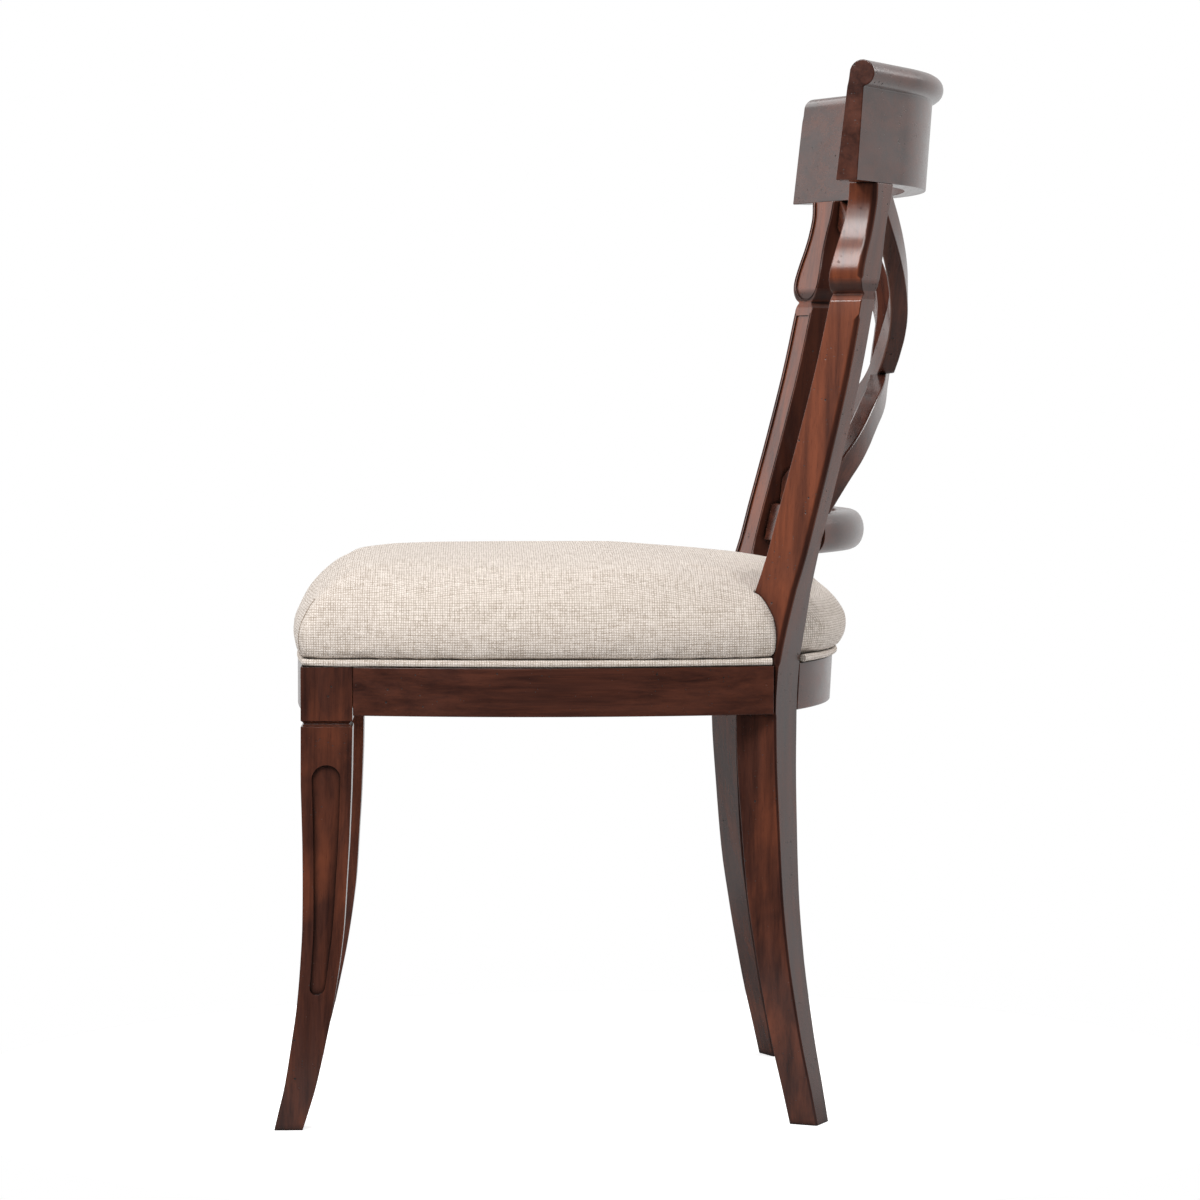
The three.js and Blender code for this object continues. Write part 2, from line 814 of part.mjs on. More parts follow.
// Dust cover: thin cloth inside the rails, under the board
function dustCover() {
  const inset = railThickness + coverGap;
  const half = [];
  for (let k = 0; k <= sideSteps; k += 1) {
    const x = (frontPostInner * k) / sideSteps;
    half.push([x, frontLine(x) + inset]);
  }
  half.push([postOuter - postSize / 2, frontPostRear - postSize / 2]);
  const legCentre = backPoint(stileOuter - (rearLegWidth / 2) * cosTurn, backRear, -rearLegDepth / 2, 0);
  for (let k = 0; k <= sideSteps; k += 1) {
    const y = mix(frontPostRear, legCentre.y - rearLegDepth / 2, k / sideSteps);
    half.push([sideLine(y) - inset, y]);
  }
  half.push([legCentre.x, legCentre.y]);
  for (let k = 0; k <= rearSteps; k += 1) {
    const point = backPoint(rearLegInner * (1 - k / rearSteps), backRear, -inset, 0);
    half.push([point.x, point.y]);
  }
  const outline = [...half, ...half.slice(1, -1).reverse().map(([x, y]) => [-x, y])];
  const plate = prism(outline, railTop - jointGap - dustCoverThickness, railTop - jointGap);
  const legRoom = rearLeg(coverGap, 0);
  const frontRoom = postRoom(coverGap);
  return cut(plate, legRoom, otherSide(legRoom), frontRoom, otherSide(frontRoom));
}

// Finishes
const mahogany = { color: 0x4b2018, roughness: 0.28, metalness: 0 };
const hiddenWood = { color: 0xa98a63, roughness: 0.8, metalness: 0 };
const linen = { color: 0xcfc3b6, roughness: 0.95, metalness: 0 };
const foam = { color: 0xe6dfc8, roughness: 1, metalness: 0 };
const cambric = { color: 0x1c1b1b, roughness: 1, metalness: 0 };
const steel = { color: 0x9a9a9c, roughness: 0.4, metalness: 1 };

const pieces = new Map();

function addPiece(name, solid, finish) {
  pieces.set(name, { solid, finish });
}

// A piece modelled on the left, with its own copy on the right
function addPair(name, solid, finish) {
  addPiece(`${name}_left`, solid, finish);
  addPiece(`${name}_right`, otherSide(solid), finish);
}

const rightOf = (point) => new THREE.Vector3(-point.x, point.y, point.z);

addPair("front_leg", frontLeg(), mahogany);
addPair("rear_leg", rearLeg(0, 0), mahogany);
addPair("side_rail", cut(sideRail(0), rearLeg(jointGap, overrun)), mahogany);
addPiece("front_rail", frontRail(0), mahogany);
addPiece("rear_rail", rearRail(0), mahogany);
addPiece("crest_rail", crestRail(), mahogany);
addPiece("lower_back_rail", lowerBackRail(), mahogany);
addPiece("splat_bar_rising_left", splatBar(1), mahogany);
addPiece("splat_bar_rising_right", splatBar(-1), mahogany);
const frontRoom = [postRoom(jointGap), frontRail(jointGap), sideRail(jointGap)];
const rearRoom = [rearLeg(jointGap, overrun), rearRail(jointGap), sideRail(jointGap)];
addPair("front_corner_block", cornerBlock(frontBlockOutline(), ...frontRoom), hiddenWood);
addPair("rear_corner_block", cornerBlock(rearBlockOutline(), ...rearRoom), hiddenWood);
addPiece("seat_board", seatBoard(), hiddenWood);
addPiece("seat_foam", seatFoam(), foam);
addPiece("seat_cover", seatCover(), linen);
addPiece("seat_welt_front", frontWelt(), linen);
addPiece("seat_welt_rear", rearWelt(), linen);
addPiece("dust_cover", dustCover(), cambric);

// Joinery: a fastener is added as its own piece and its hole is cut from what it passes through.
function bore(names, hole) {
  for (const name of names) {
    const piece = pieces.get(name);
    piece.solid = piece.solid.subtract(hole);
  }
}

function boreLonger(from, to) {
  const step = to.clone().sub(from).setLength(jointGap);
  return roundBar(from.clone().sub(step), to.clone().add(step), dowelRadius + jointGap);
}

function addDowel(name, left, from, to) {
  for (const side of ["left", "right"]) {
    const [a, b] = side === "left" ? [from, to] : [rightOf(from), rightOf(to)];
    bore(left.map((other) => other.replace("SIDE", side)), boreLonger(a, b));
    addPiece(`${name}_${side}`, roundBar(a, b, dowelRadius), hiddenWood);
  }
}

function addScrew(name, left, head, tip) {
  const along = tip.clone().sub(head).normalize();
  const neck = head.clone().addScaledVector(along, screwHeadHeight);
  const mouth = head.clone().addScaledVector(along, -overrun);
  const past = tip.clone().addScaledVector(along, jointGap);
  const seatFace = neck.clone().addScaledVector(along, jointGap);
  for (const side of ["left", "right"]) {
    const place = side === "left" ? (p) => p : rightOf;
    const hole = roundBar(place(mouth), place(seatFace), screwHeadRadius + jointGap)
      .add(roundBar(place(head), place(past), screwRadius + jointGap));
    bore(left.map((other) => other.replace("SIDE", side)), hole);
    const screw = roundBar(place(head), place(neck), screwHeadRadius)
      .add(roundBar(place(head), place(tip), screwRadius));
    addPiece(`${name}_${side}`, screw, steel);
  }
}

const dowelHeights = dowelRowShares.map((share) => mix(railBottom, railTop, share));
const tangent = new THREE.Vector3(cosTurn, -sinTurn, 0);
["lower", "upper"].forEach((row, k) => {
  const z = dowelHeights[k];
  const frontY = frontLine(frontPostInner) + railThickness / 2;
  addDowel(`front_rail_dowel_${row}`, ["front_rail", "front_leg_SIDE"],
    new THREE.Vector3(frontPostInner - dowelDepth, frontY, z),
    new THREE.Vector3(frontPostInner + dowelDepth, frontY, z));
  const sideX = postOuter - railThickness / 2;
  addDowel(`side_rail_front_dowel_${row}`, ["side_rail_SIDE", "front_leg_SIDE"],
    new THREE.Vector3(sideX, frontPostRear - dowelDepth, z),
    new THREE.Vector3(sideX, frontPostRear + dowelDepth, z));
  const inner = backPoint(rearLegInner, backRear, -railThickness / 2, z);
  addDowel(`rear_rail_dowel_${row}`, ["rear_rail", "rear_leg_SIDE"],
    inner.clone().addScaledVector(tangent, -dowelDepth),
    inner.clone().addScaledVector(tangent, dowelDepth));
  const outer = backPoint(stileOuter, backRear, -rearLegDepth / 2, z);
  addDowel(`side_rail_rear_dowel_${row}`, ["side_rail_SIDE", "rear_leg_SIDE"],
    outer.clone().addScaledVector(tangent, -dowelDepth),
    outer.clone().addScaledVector(tangent, cheekDowelDepth));
});

const lowerRailMiddle = (lowerRailBottom + lowerRailTop) / 2;
const stileSide = backPoint(stileInner, rearAt(lowerRailMiddle), -lowerRailThickness / 2, lowerRailMiddle);
addDowel("lower_back_rail_dowel", ["lower_back_rail", "rear_leg_SIDE"],
  stileSide.clone().addScaledVector(tangent, -dowelDepth),
  stileSide.clone().addScaledVector(tangent, dowelDepth));

const stileMiddle = stileOuter - (stileWidth / 2) * cosTurn - headSpread / 2;
const crestDowelOffset = -crestThickness / 2;
const crestDowelLean = crestLean * crestDowelLeanShare;
addDowel("crest_dowel", ["crest_rail", "rear_leg_SIDE"],
  backPoint(stileMiddle, rearAt(crestBottom - dowelDepth), crestDowelOffset, crestBottom - dowelDepth),
  backPoint(stileMiddle, rearAt(crestBottom), crestDowelOffset + crestDowelLean, crestBottom + dowelDepth));

// Each block has a screw into either rail and one up into the seat board.
function addBlockScrews(end, outline, railNames, [alongShare, inShare]) {
  const [firstX, firstY] = outline[0];
  const [lastX, lastY] = outline[outline.length - 1];
  const openFace = (share) =>
    new THREE.Vector3(mix(firstX, lastX, share), mix(firstY, lastY, share), railMiddle);
  const corner = new THREE.Vector3(outline[2][0], outline[2][1], railMiddle);
  const block = `${end}_corner_block_SIDE`;
  const [xa, ya] = outline[1];
  const [xb, yb] = outline[outline.length - 2];
  const targets = [[xa, ya], [xb, yb]];
  targets.forEach(([x, y], k) => {
    const start = openFace(railScrewShares[k]);
    const [endX, endY] = outline[k * (outline.length - 1)];
    const nearer = new THREE.Vector3((x + endX) / 2, (y + endY) / 2, railMiddle);
    const along = nearer.clone().sub(start).normalize();
    addScrew(`${end}_block_screw_to_${railNames[k]}`, [block, rails[railNames[k]]],
      start.clone().addScaledVector(along, screwSink), nearer);
  });
  const middle = openFace(alongShare).lerp(corner, inShare);
  const head = new THREE.Vector3(middle.x, middle.y, blockBottom + screwSink);
  const tip = new THREE.Vector3(middle.x, middle.y, railTop + boardScrewBite);
  addScrew(`${end}_seat_screw`, [block, "dust_cover", "seat_board"], head, tip);
}

const rails = { front_rail: "front_rail", side_rail: "side_rail_SIDE", rear_rail: "rear_rail" };
addBlockScrews("front", frontBlockOutline(), ["front_rail", "side_rail"], frontSeatScrewShares);
addBlockScrews("rear", rearBlockOutline(), ["side_rail", "rear_rail"], rearSeatScrewShares);

const chair = new THREE.Group();
for (const [name, { solid, finish }] of pieces) {
  const mesh = solid.getMesh();
  const geometry = new THREE.BufferGeometry();
  geometry.setAttribute("position", new THREE.Float32BufferAttribute(mesh.vertProperties, mesh.numProp));
  geometry.setIndex(new THREE.Uint32BufferAttribute(mesh.triVerts, 1));
  const piece = new THREE.Mesh(geometry, new THREE.MeshStandardMaterial(finish));
  piece.name = name;
  chair.add(piece);
}

export default chair;
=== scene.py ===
import math

import bmesh
import bpy
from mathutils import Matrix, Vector


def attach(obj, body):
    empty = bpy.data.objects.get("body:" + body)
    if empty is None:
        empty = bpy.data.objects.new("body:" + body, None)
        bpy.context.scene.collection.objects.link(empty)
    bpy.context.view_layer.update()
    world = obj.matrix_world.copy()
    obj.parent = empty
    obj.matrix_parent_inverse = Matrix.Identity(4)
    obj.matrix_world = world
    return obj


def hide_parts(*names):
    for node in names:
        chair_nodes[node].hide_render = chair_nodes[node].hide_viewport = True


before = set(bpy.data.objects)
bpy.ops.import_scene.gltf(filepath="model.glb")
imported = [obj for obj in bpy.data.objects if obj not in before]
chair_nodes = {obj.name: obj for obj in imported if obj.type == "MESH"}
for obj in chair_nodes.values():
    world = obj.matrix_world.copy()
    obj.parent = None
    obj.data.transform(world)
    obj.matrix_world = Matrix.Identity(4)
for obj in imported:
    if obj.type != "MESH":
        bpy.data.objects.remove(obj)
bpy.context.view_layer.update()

# Sizes in metres. The sitter faces -Y and has +X on the left.
RAIL_BOTTOM, RAIL_TOP = 0.3606, 0.4026
LOWER_RAIL_BOTTOM, LOWER_RAIL_TOP = 0.498, 0.533
# The height of the narrow neck below the stile's head
LIP = 0.7246
CREST_BOTTOM, CREST_HALF = 0.8206, 0.254
BACK_RADIUS, BACK_TURN = 0.355, math.radians(26)
TURN_SIN, TURN_COS = math.sin(BACK_TURN), math.cos(BACK_TURN)
BACK_REAR, CREST_REAR = 0.1986, 0.2845
STILE_OUTER, STILE_INNER = 0.212, 0.1832
LEG_INNER = 0.1671
POST_OUTER, POST_FRONT, POST_SIZE = 0.222, -0.276, 0.0446
RAIL_THICKNESS = 0.026
SIDE_BOW, FRONT_BOW = 0.025, 0.010
# How far the cheek, where the side rail meets the leg, stands outside the leg
CHEEK = 0.004
GAP = 0.0003
ARRIS = 0.0014
WELT_RADIUS = 0.0033

# Rear leg: height, rear face at the middle of the chair, outer side, inner side and depth, in millimetres
REAR_LEG = [
    (0, 235.7, 212, 187.7, 26), (30.3, 230, 212, 185.9, 27), (67.4, 222.4, 212, 183.2, 28),
    (100.6, 216.8, 212, 181.4, 28.8), (142.1, 210.6, 212, 179.2, 30), (200.5, 204.7, 212, 176.1, 33),
    (265, 201.4, 212, 172.9, 35.4), (322.4, 199, 212, 168.9, 37), (360.6, 198.6, 212, 167.1, 37.5),
    (402.6, 200.9, 212, 167.1, 37.5), (431.2, 206.2, 212, 169, 37.3), (453.4, 211.4, 212, 173.4, 37),
    (474.1, 216.6, 212, 177.9, 36.5), (488.8, 221.4, 212, 181.6, 36), (498, 223.9, 212, 183.2, 35.8),
    (532.9, 232.5, 212, 183.2, 35.5), (548.8, 236.4, 212, 183.2, 35), (607.2, 250.4, 212, 183.2, 33.4),
    (663, 262.4, 212, 183.2, 31.4), (717.6, 272, 212, 183.2, 29.3),
]
# The head of the stile, from its round foot up to the crest, in the same columns
STILE_HEAD = [
    (719.6, 272.3, 211.5, 183.7, 29.3), (722.6, 272.7, 209.6, 185.5, 29.2), (723.8, 272.9, 208.4, 186.7, 29.1),
    (724.6, 273, 208, 187.1, 29.1), (725.4, 273.1, 208.8, 186.3, 29.2), (726.6, 273.2, 211, 184.2, 29.5),
    (728.6, 273.5, 213.4, 182, 29.9), (731.6, 273.9, 215.8, 180, 30.2), (736, 274.4, 218, 178.3, 30.3),
    (740, 274.9, 219, 177.4, 30.2), (744.6, 275.5, 219.3, 177, 30), (753, 276.6, 218.2, 177.3, 29.4),
    (762.7, 277.9, 216, 178.1, 28.7), (774.8, 279.4, 212.5, 178.7, 27.8), (789.7, 281.2, 210, 178.1, 26.5),
    (805.5, 283.1, 209, 175.6, 25.7), (820.6, 284.5, 211, 173.5, 25.5),
]
# The rows of the head that are used as they are; above them it flows
FOOT_ROWS = 9
# Front leg: height, front face, depth, width and toe-in, in millimetres
FRONT_LEG = [
    (0, -300.2, 24.6, 26, 2), (18.3, -295.9, 26.2, 27.5, 1.8), (36.2, -291.5, 27.2, 28.4, 1.7),
    (74.4, -285.2, 29.6, 30.6, 1.5), (112, -279.9, 31.8, 32.7, 1.3), (149.2, -276.8, 34.4, 35.1, 1),
    (179.4, -275.2, 36.2, 36.8, 0.8), (217.6, -274.8, 38.2, 38.6, 0.6), (243.9, -274.9, 40, 40.3, 0.5),
    (278, -275.6, 42.3, 42.5, 0.2), (304.3, -276.2, 43.9, 44, 0.1), (351, -276, 44.6, 44.6, 0),
]
# Splat: centre line of a bar that rises to the left, across and up, in millimetres
SPLAT = [(-192.6, 527), (-166, 562.9), (-142, 584.8), (-94, 617.6), (0, 653.5), (60, 707.3), (120, 755.9), (196, 829)]
# How far the splat stands behind or before the plain sweep of the back: height and distance, in millimetres
SPLAT_BOW = [
    (520, -2.5), (540, -1.5), (562, 0.5), (588, 0.5), (606, -1.5), (624, -3.8), (645, -4.8), (675, -2.5),
    (694, 0), (724, 2.5), (750, 3), (790, 2), (832, 0),
]
# Cushion: share of the way to the middle, share of the height, and bulge at the sides and at the rear in millimetres
CUSHION = [
    (0.0, 0.055, -2.6, -2.6), (0.0, 0.10, 0.6, 7.5), (0.0, 0.15, 3.2, 12.5), (0.0, 0.22, 4.6, 15.8),
    (0.0, 0.36, 3.6, 16.3), (0.016, 0.5, 1.4, 13.0), (0.037, 0.62, 0.3, 9.0), (0.078, 0.74, 0.0, 6.0),
    (0.115, 0.82, 0.0, 2.5), (0.155, 0.89, 0.0, 0.0), (0.225, 0.945, 0.0, 0.0), (0.34, 0.98, 0.0, 0.0),
    (0.5, 0.995, 0.0, 0.0), (0.75, 1.0, 0.0, 0.0),
]
CUSHION_HEIGHT, CUSHION_CENTRE = 0.0987, -0.04


# Small helps for modelling

def set_all(thing, **values):
    for key, value in values.items():
        setattr(thing, key, value)


def deselect():
    if bpy.context.object and bpy.context.object.mode != "OBJECT":
        leave_edit()
    bpy.ops.object.select_all(action="DESELECT")


def take(piece):
    deselect()
    piece.select_set(True)
    bpy.context.view_layer.objects.active = piece


def edit(piece):
    """Goes into edit mode with all selected."""
    take(piece)
    bpy.ops.object.mode_set(mode="EDIT")
    bpy.ops.mesh.select_all(action="SELECT")


def leave_edit():
    bpy.ops.object.mode_set(mode="OBJECT")


def named(name):
    """Names the object that the last operator made."""
    bpy.context.object.name = name
    return bpy.context.object


def put_in(name, data):
    piece = bpy.data.objects.new(name, data)
    bpy.context.scene.collection.objects.link(piece)
    return piece


def select_where(piece, kind, wanted):
    """In edit mode, selects only the verts, edges or faces for which wanted is true."""
    bpy.context.tool_settings.mesh_select_mode = [kind == other for other in ("verts", "edges", "faces")]
    bpy.ops.mesh.select_all(action="DESELECT")
    shape = bmesh.from_edit_mesh(piece.data)
    for element in [element for element in getattr(shape, kind) if wanted(element)]:
        element.select_set(True)
    bmesh.update_edit_mesh(piece.data)


def face_out(piece):
    edit(piece)
    bpy.ops.mesh.remove_doubles(threshold=0.00001)
    bpy.ops.mesh.normals_make_consistent()
    leave_edit()
    return piece


def apply_place(piece):
    take(piece)
    bpy.ops.object.transform_apply()


def apply_modifier(piece, kind, **settings):
    take(piece)
    modifier = piece.modifiers.new(kind.lower(), kind)
    set_all(modifier, **settings)
    bpy.ops.object.modifier_apply(modifier=modifier.name)


def cut_away(piece, *tools):
    for tool in tools:
        apply_modifier(piece, "BOOLEAN", operation="DIFFERENCE", solver="EXACT", object=tool)


def throw_away(*tools):
    for tool in tools:
        bpy.data.objects.remove(tool, do_unlink=True)


def carve(piece, *tools):
    cut_away(piece, *tools)
    throw_away(*tools)


def extrude(step):
    bpy.ops.mesh.extrude_region_move(TRANSFORM_OT_translate={"value": step})


def round_arrises(piece, width, angle):
    apply_modifier(piece, "BEVEL", width=width, segments=3, limit_method="ANGLE",
                   angle_limit=math.radians(angle), use_clamp_overlap=True)


def soften(piece, width=ARRIS, angle=40):
    """Takes the sharp edges off and shades the rest smooth."""
    round_arrises(piece, width, angle)
    return shade(piece)


def shade(piece):
    """Shades smooth up to the sharp edges and keeps the broad faces flat beside their softened arrises."""
    take(piece)
    bpy.ops.object.shade_smooth_by_angle(angle=math.radians(32))
    apply_modifier(piece, "WEIGHTED_NORMAL", mode="FACE_AREA", weight=50, keep_sharp=True)
    return piece


def evenly(low, high, steps):
    return [low + (high - low) * k / steps for k in range(steps + 1)]


def eased(value, low, high):
    share = max(0, min(1, (value - low) / (high - low)))
    return share * share * (3 - 2 * share)


def slope_at(rows, i, column):
    """The slope of a column at a row, which is level where the column turns back."""
    def rise(j):
        return (rows[j + 1][column] - rows[j][column]) / (rows[j + 1][0] - rows[j][0])
    if i == 0 or i == len(rows) - 1:
        return rise(max(0, i - 1))
    before, after = rise(i - 1), rise(i)
    return 2 * before * after / (before + after) if before * after > 0 else 0.0


def flowing(rows, at):
    """Every column of the rows at the value at of the first column, on a smooth curve without overshoot."""
    k = max(0, min(len(rows) - 2, sum(1 for row in rows if row[0] <= at) - 1))
    span = rows[k + 1][0] - rows[k][0]
    t = (at - rows[k][0]) / span
    result = []
    for column in range(1, len(rows[0])):
        start, end = slope_at(rows, k, column) * span, slope_at(rows, k + 1, column) * span
        result.append((2 * t ** 3 - 3 * t ** 2 + 1) * rows[k][column] + (t ** 3 - 2 * t ** 2 + t) * start
                      + (3 * t ** 2 - 2 * t ** 3) * rows[k + 1][column] + (t ** 3 - t ** 2) * end)
    return result


def draw_up(name, levels):
    """A post drawn up from its foot. Each level is height, left, right, front and rear."""
    deselect()
    z, left, right, front, rear = levels[0]
    centre = Vector(((left + right) / 2, (front + rear) / 2, z))
    bpy.ops.mesh.primitive_plane_add(size=1, location=centre)
    post = named(name)
    edit(post)
    bpy.ops.transform.resize(value=(right - left, rear - front, 1), center_override=centre)
    for level in levels[1:]:
        wide, deep = right - left, rear - front
        z, left, right, front, rear = level
        above = Vector(((left + right) / 2, (front + rear) / 2, z))
        extrude(above - centre)
        centre = above
        growth = ((right - left) / wide, (rear - front) / deep, 1)
        bpy.ops.transform.resize(value=growth, center_override=centre)
    leave_edit()
    apply_place(post)
    return face_out(post)


def draw_through(name, stations):
    """A seat rail drawn through stations of outer x and y; its thickness lies to the other side."""
    deselect()
    bpy.ops.mesh.primitive_plane_add(size=1)
    rail = named(name)
    inward = [behind_station(stations, k) for k in range(len(stations))]
    corners = [(*place, z) for z in (RAIL_BOTTOM, RAIL_TOP) for place in (stations[0], inward[0])]
    for corner, place in zip(rail.data.vertices, corners):
        corner.co = place
    edit(rail)
    for k in range(1, len(stations)):
        extrude(Vector((stations[k][0] - stations[k - 1][0], stations[k][1] - stations[k - 1][1], 0)))
        shape = bmesh.from_edit_mesh(rail.data)
        for corner in [v for v in shape.verts if v.select]:
            if (corner.co.xy - Vector(stations[k])).length > RAIL_THICKNESS / 2:
                corner.co.x, corner.co.y = inward[k]
        bmesh.update_edit_mesh(rail.data)
    leave_edit()
    return face_out(rail)


def behind_station(stations, k):
    before, after = Vector(stations[max(0, k - 1)]), Vector(stations[min(len(stations) - 1, k + 1)])
    along = (after - before).normalized()
    return (stations[k][0] - along.y * RAIL_THICKNESS, stations[k][1] + along.x * RAIL_THICKNESS)


def line_through(data, kind, points):
    line = data.splines.new(kind)
    line.points.add(len(points) - 1)
    for place, point in zip(line.points, points):
        place.co = (*point, 1)
    return line


def tube(name, points, radius, kind, roundness):
    """A round tube through the points, as a mesh. POLY runs straight between them and NURBS flows."""
    data = bpy.data.curves.new(name, "CURVE")
    data.dimensions = "3D"
    set_all(line_through(data, kind, points), use_endpoint_u=True, order_u=3)
    set_all(data, resolution_u=3, bevel_depth=radius, bevel_resolution=roundness, use_fill_caps=True)
    take(put_in(name, data))
    bpy.ops.object.convert(target="MESH")
    return named(name)


def sewn_tube(name, points, radius):
    piece = tube(name, points, radius, "NURBS", 3)
    bpy.ops.object.shade_smooth()
    return piece


def groove_tool(name, points, radius):
    """A round bar along the points, which cuts a groove."""
    return face_out(tube(name, points, radius, "POLY", 7))


def other_side(piece, name):
    """A copy on the other side of the chair, with its own mesh."""
    take(piece)
    bpy.ops.object.duplicate()
    copy = named(name)
    copy.scale.x = -1
    apply_place(copy)
    edit(copy)
    bpy.ops.mesh.normals_make_consistent()
    leave_edit()
    if copy.data.has_custom_normals:
        bpy.ops.mesh.customdata_custom_splitnormals_clear()
    return shade(copy)


# The curved back

def plan_drop(x):
    """How far the back has come forward at x."""
    reach = min(abs(x), BACK_RADIUS * TURN_SIN)
    past = abs(x) - reach
    return BACK_RADIUS - math.sqrt(BACK_RADIUS ** 2 - reach ** 2) + past * math.tan(BACK_TURN)


def rear_at(z):
    return flowing(REAR_LEG + [STILE_HEAD[-1]], z * 1000)[0] / 1000


def back_point(x, rear, offset, z):
    turn = max(-BACK_TURN, min(BACK_TURN, math.asin(max(-1, min(1, x / BACK_RADIUS)))))
    return Vector((x + math.sin(turn) * offset, rear - plan_drop(x) + math.cos(turn) * offset, z))


def sweep_back(name, section, rear, half):
    """Sweeps a section of offset and height along the plan of the back: straight, round an arc, and straight."""
    deselect()
    bpy.ops.mesh.primitive_circle_add(vertices=len(section), radius=1, fill_type="NGON")
    rail = named(name)
    axis = Vector((0, rear - BACK_RADIUS, 0))
    along = Vector((TURN_COS, TURN_SIN, 0))
    straight = (half - BACK_RADIUS * TURN_SIN) / TURN_COS
    for corner, (offset, z) in zip(rail.data.vertices, section):
        reach = BACK_RADIUS + offset
        at = Vector((-reach * TURN_SIN, reach * TURN_COS, z))
        corner.co = axis + at - along * straight
    edit(rail)
    extrude(along * straight)
    bpy.ops.mesh.spin(steps=32, angle=2 * BACK_TURN, center=axis, axis=(0, 0, 1))
    extrude(Vector((along.x, -along.y, 0)) * straight)
    leave_edit()
    return face_out(rail)


# Rear legs with their stiles

def rear_leg_levels(grow=0.0):
    """Levels of the leg in its own directions: right is out of the chair and rear is out of the back."""
    rows = [(z, *flowing(REAR_LEG, z)) for z in evenly(0, REAR_LEG[-1][0], 46)]
    rows += STILE_HEAD[:FOOT_ROWS]
    rows += [(z, *flowing(STILE_HEAD, z)) for z in evenly(STILE_HEAD[FOOT_ROWS - 1][0], STILE_HEAD[-1][0], 22)[1:]]
    levels = []
    for z, rear, outer, inner, depth in rows:
        shift = rear / 1000 - BACK_REAR
        across = -TURN_SIN * shift
        back = TURN_COS * shift
        right = (outer / 1000 - STILE_OUTER) / TURN_COS + across
        left = (inner / 1000 - STILE_OUTER) / TURN_COS + across
        levels.append((z / 1000, left - grow, right + grow, back - depth / 1000 - grow, back + grow))
    return levels


def set_on_back(piece):
    piece.rotation_euler = (0, 0, -BACK_TURN)
    piece.location = (STILE_OUTER, BACK_REAR - plan_drop(STILE_OUTER), 0)
    apply_place(piece)


def at_level(levels, z):
    """Left, right, front and rear of the leg at a height."""
    for low, high in zip(levels, levels[1:]):
        if low[0] <= z <= high[0]:
            share = (z - low[0]) / (high[0] - low[0])
            return [a + (b - a) * share for a, b in zip(low[1:], high[1:])]
    return list(levels[-1][1:])


def sunk_panel(name, levels, rows):
    """The room of a panel sunk into the front of the stile. Each row is a height and how far the sides stand in."""
    proud, sunk = 0.008, 0.0015
    room = []
    for z, inset in rows:
        left, right, front = at_level(levels, min(z, CREST_BOTTOM))[:3]
        room.append((z, left + inset, right - inset, front - proud, front + sunk))
    return draw_up(name, room)


def front_panels(levels):
    """The sunk panels on the front of the stile, the upper one with a round foot, and a fine groove round each."""
    border, line = 0.0046, 0.0021
    low, high = 0.452, 0.7125
    foot, groove_foot, turn, top = 0.7275, 0.7262, 0.7445, CREST_BOTTOM + 0.002

    def groove_points(heights, side):
        points = []
        for z in heights:
            left, right, front = at_level(levels, min(z, CREST_BOTTOM))[:3]
            points.append((left + line if side == 0 else right - line, front, z))
        return points

    left, right = at_level(levels, turn)[:2]
    middle, half = (left + right) / 2, (right - left) / 2
    rows = []
    for k in range(1, 13):
        angle = math.pi / 2 * k / 12
        z = turn - (turn - foot) * math.cos(angle)
        left, right = at_level(levels, z)[:2]
        rows.append((z, (right - left) / 2 - (half - border) * math.sin(angle)))
    rows += [(z, border) for z in evenly(turn, top, 16)[1:]]
    tools = [sunk_panel("stile_panel", levels, [(z, border) for z in evenly(low, high, 30)]),
             sunk_panel("head_panel", levels, rows)]
    for side in (0, 1):
        tools.append(groove_tool("stile_groove", groove_points(evenly(low, high + 0.002, 30), side), 0.0008))
    round_foot = []
    for k in range(1, 24):
        angle = math.pi * k / 24
        z = turn - (turn - groove_foot) * math.sin(angle)
        round_foot.append((middle - (half - line) * math.cos(angle), at_level(levels, z)[2], z))
    down, up = (groove_points(evenly(top, turn, 19), side) for side in (0, 1))
    tools.append(groove_tool("head_groove", down + round_foot + up[::-1], 0.001))
    return tools


def is_rear_outer(edge, low, high):
    """An edge that runs up the rear outer corner of the leg between two heights."""
    if len(edge.link_faces) != 2 or not all(low <= v.co.z <= high for v in edge.verts):
        return False
    normals = [face.normal for face in edge.link_faces]
    return any(n.y > 0.7 for n in normals) and any(n.x > 0.7 for n in normals)


def make_rear_leg():
    levels = rear_leg_levels()
    leg = draw_up("rear_leg_left_wood", levels)
    edit(leg)
    # The rear outer arris is rounder than the others, most of all above the seat.
    for low, high, weight in ((0.0, RAIL_BOTTOM, 0.40), (RAIL_TOP, LIP - 0.009, 0.90), (LIP + 0.012, 0.83, 0.90)):
        select_where(leg, "edges", lambda e: is_rear_outer(e, low, high))
        bpy.ops.transform.edge_bevelweight(value=weight)
    leave_edit()
    apply_modifier(leg, "BEVEL", width=0.006, segments=5, limit_method="WEIGHT")
    round_arrises(leg, ARRIS, 50)
    carve(leg, *front_panels(levels))
    shade(leg)
    set_on_back(leg)
    return leg


# Front legs

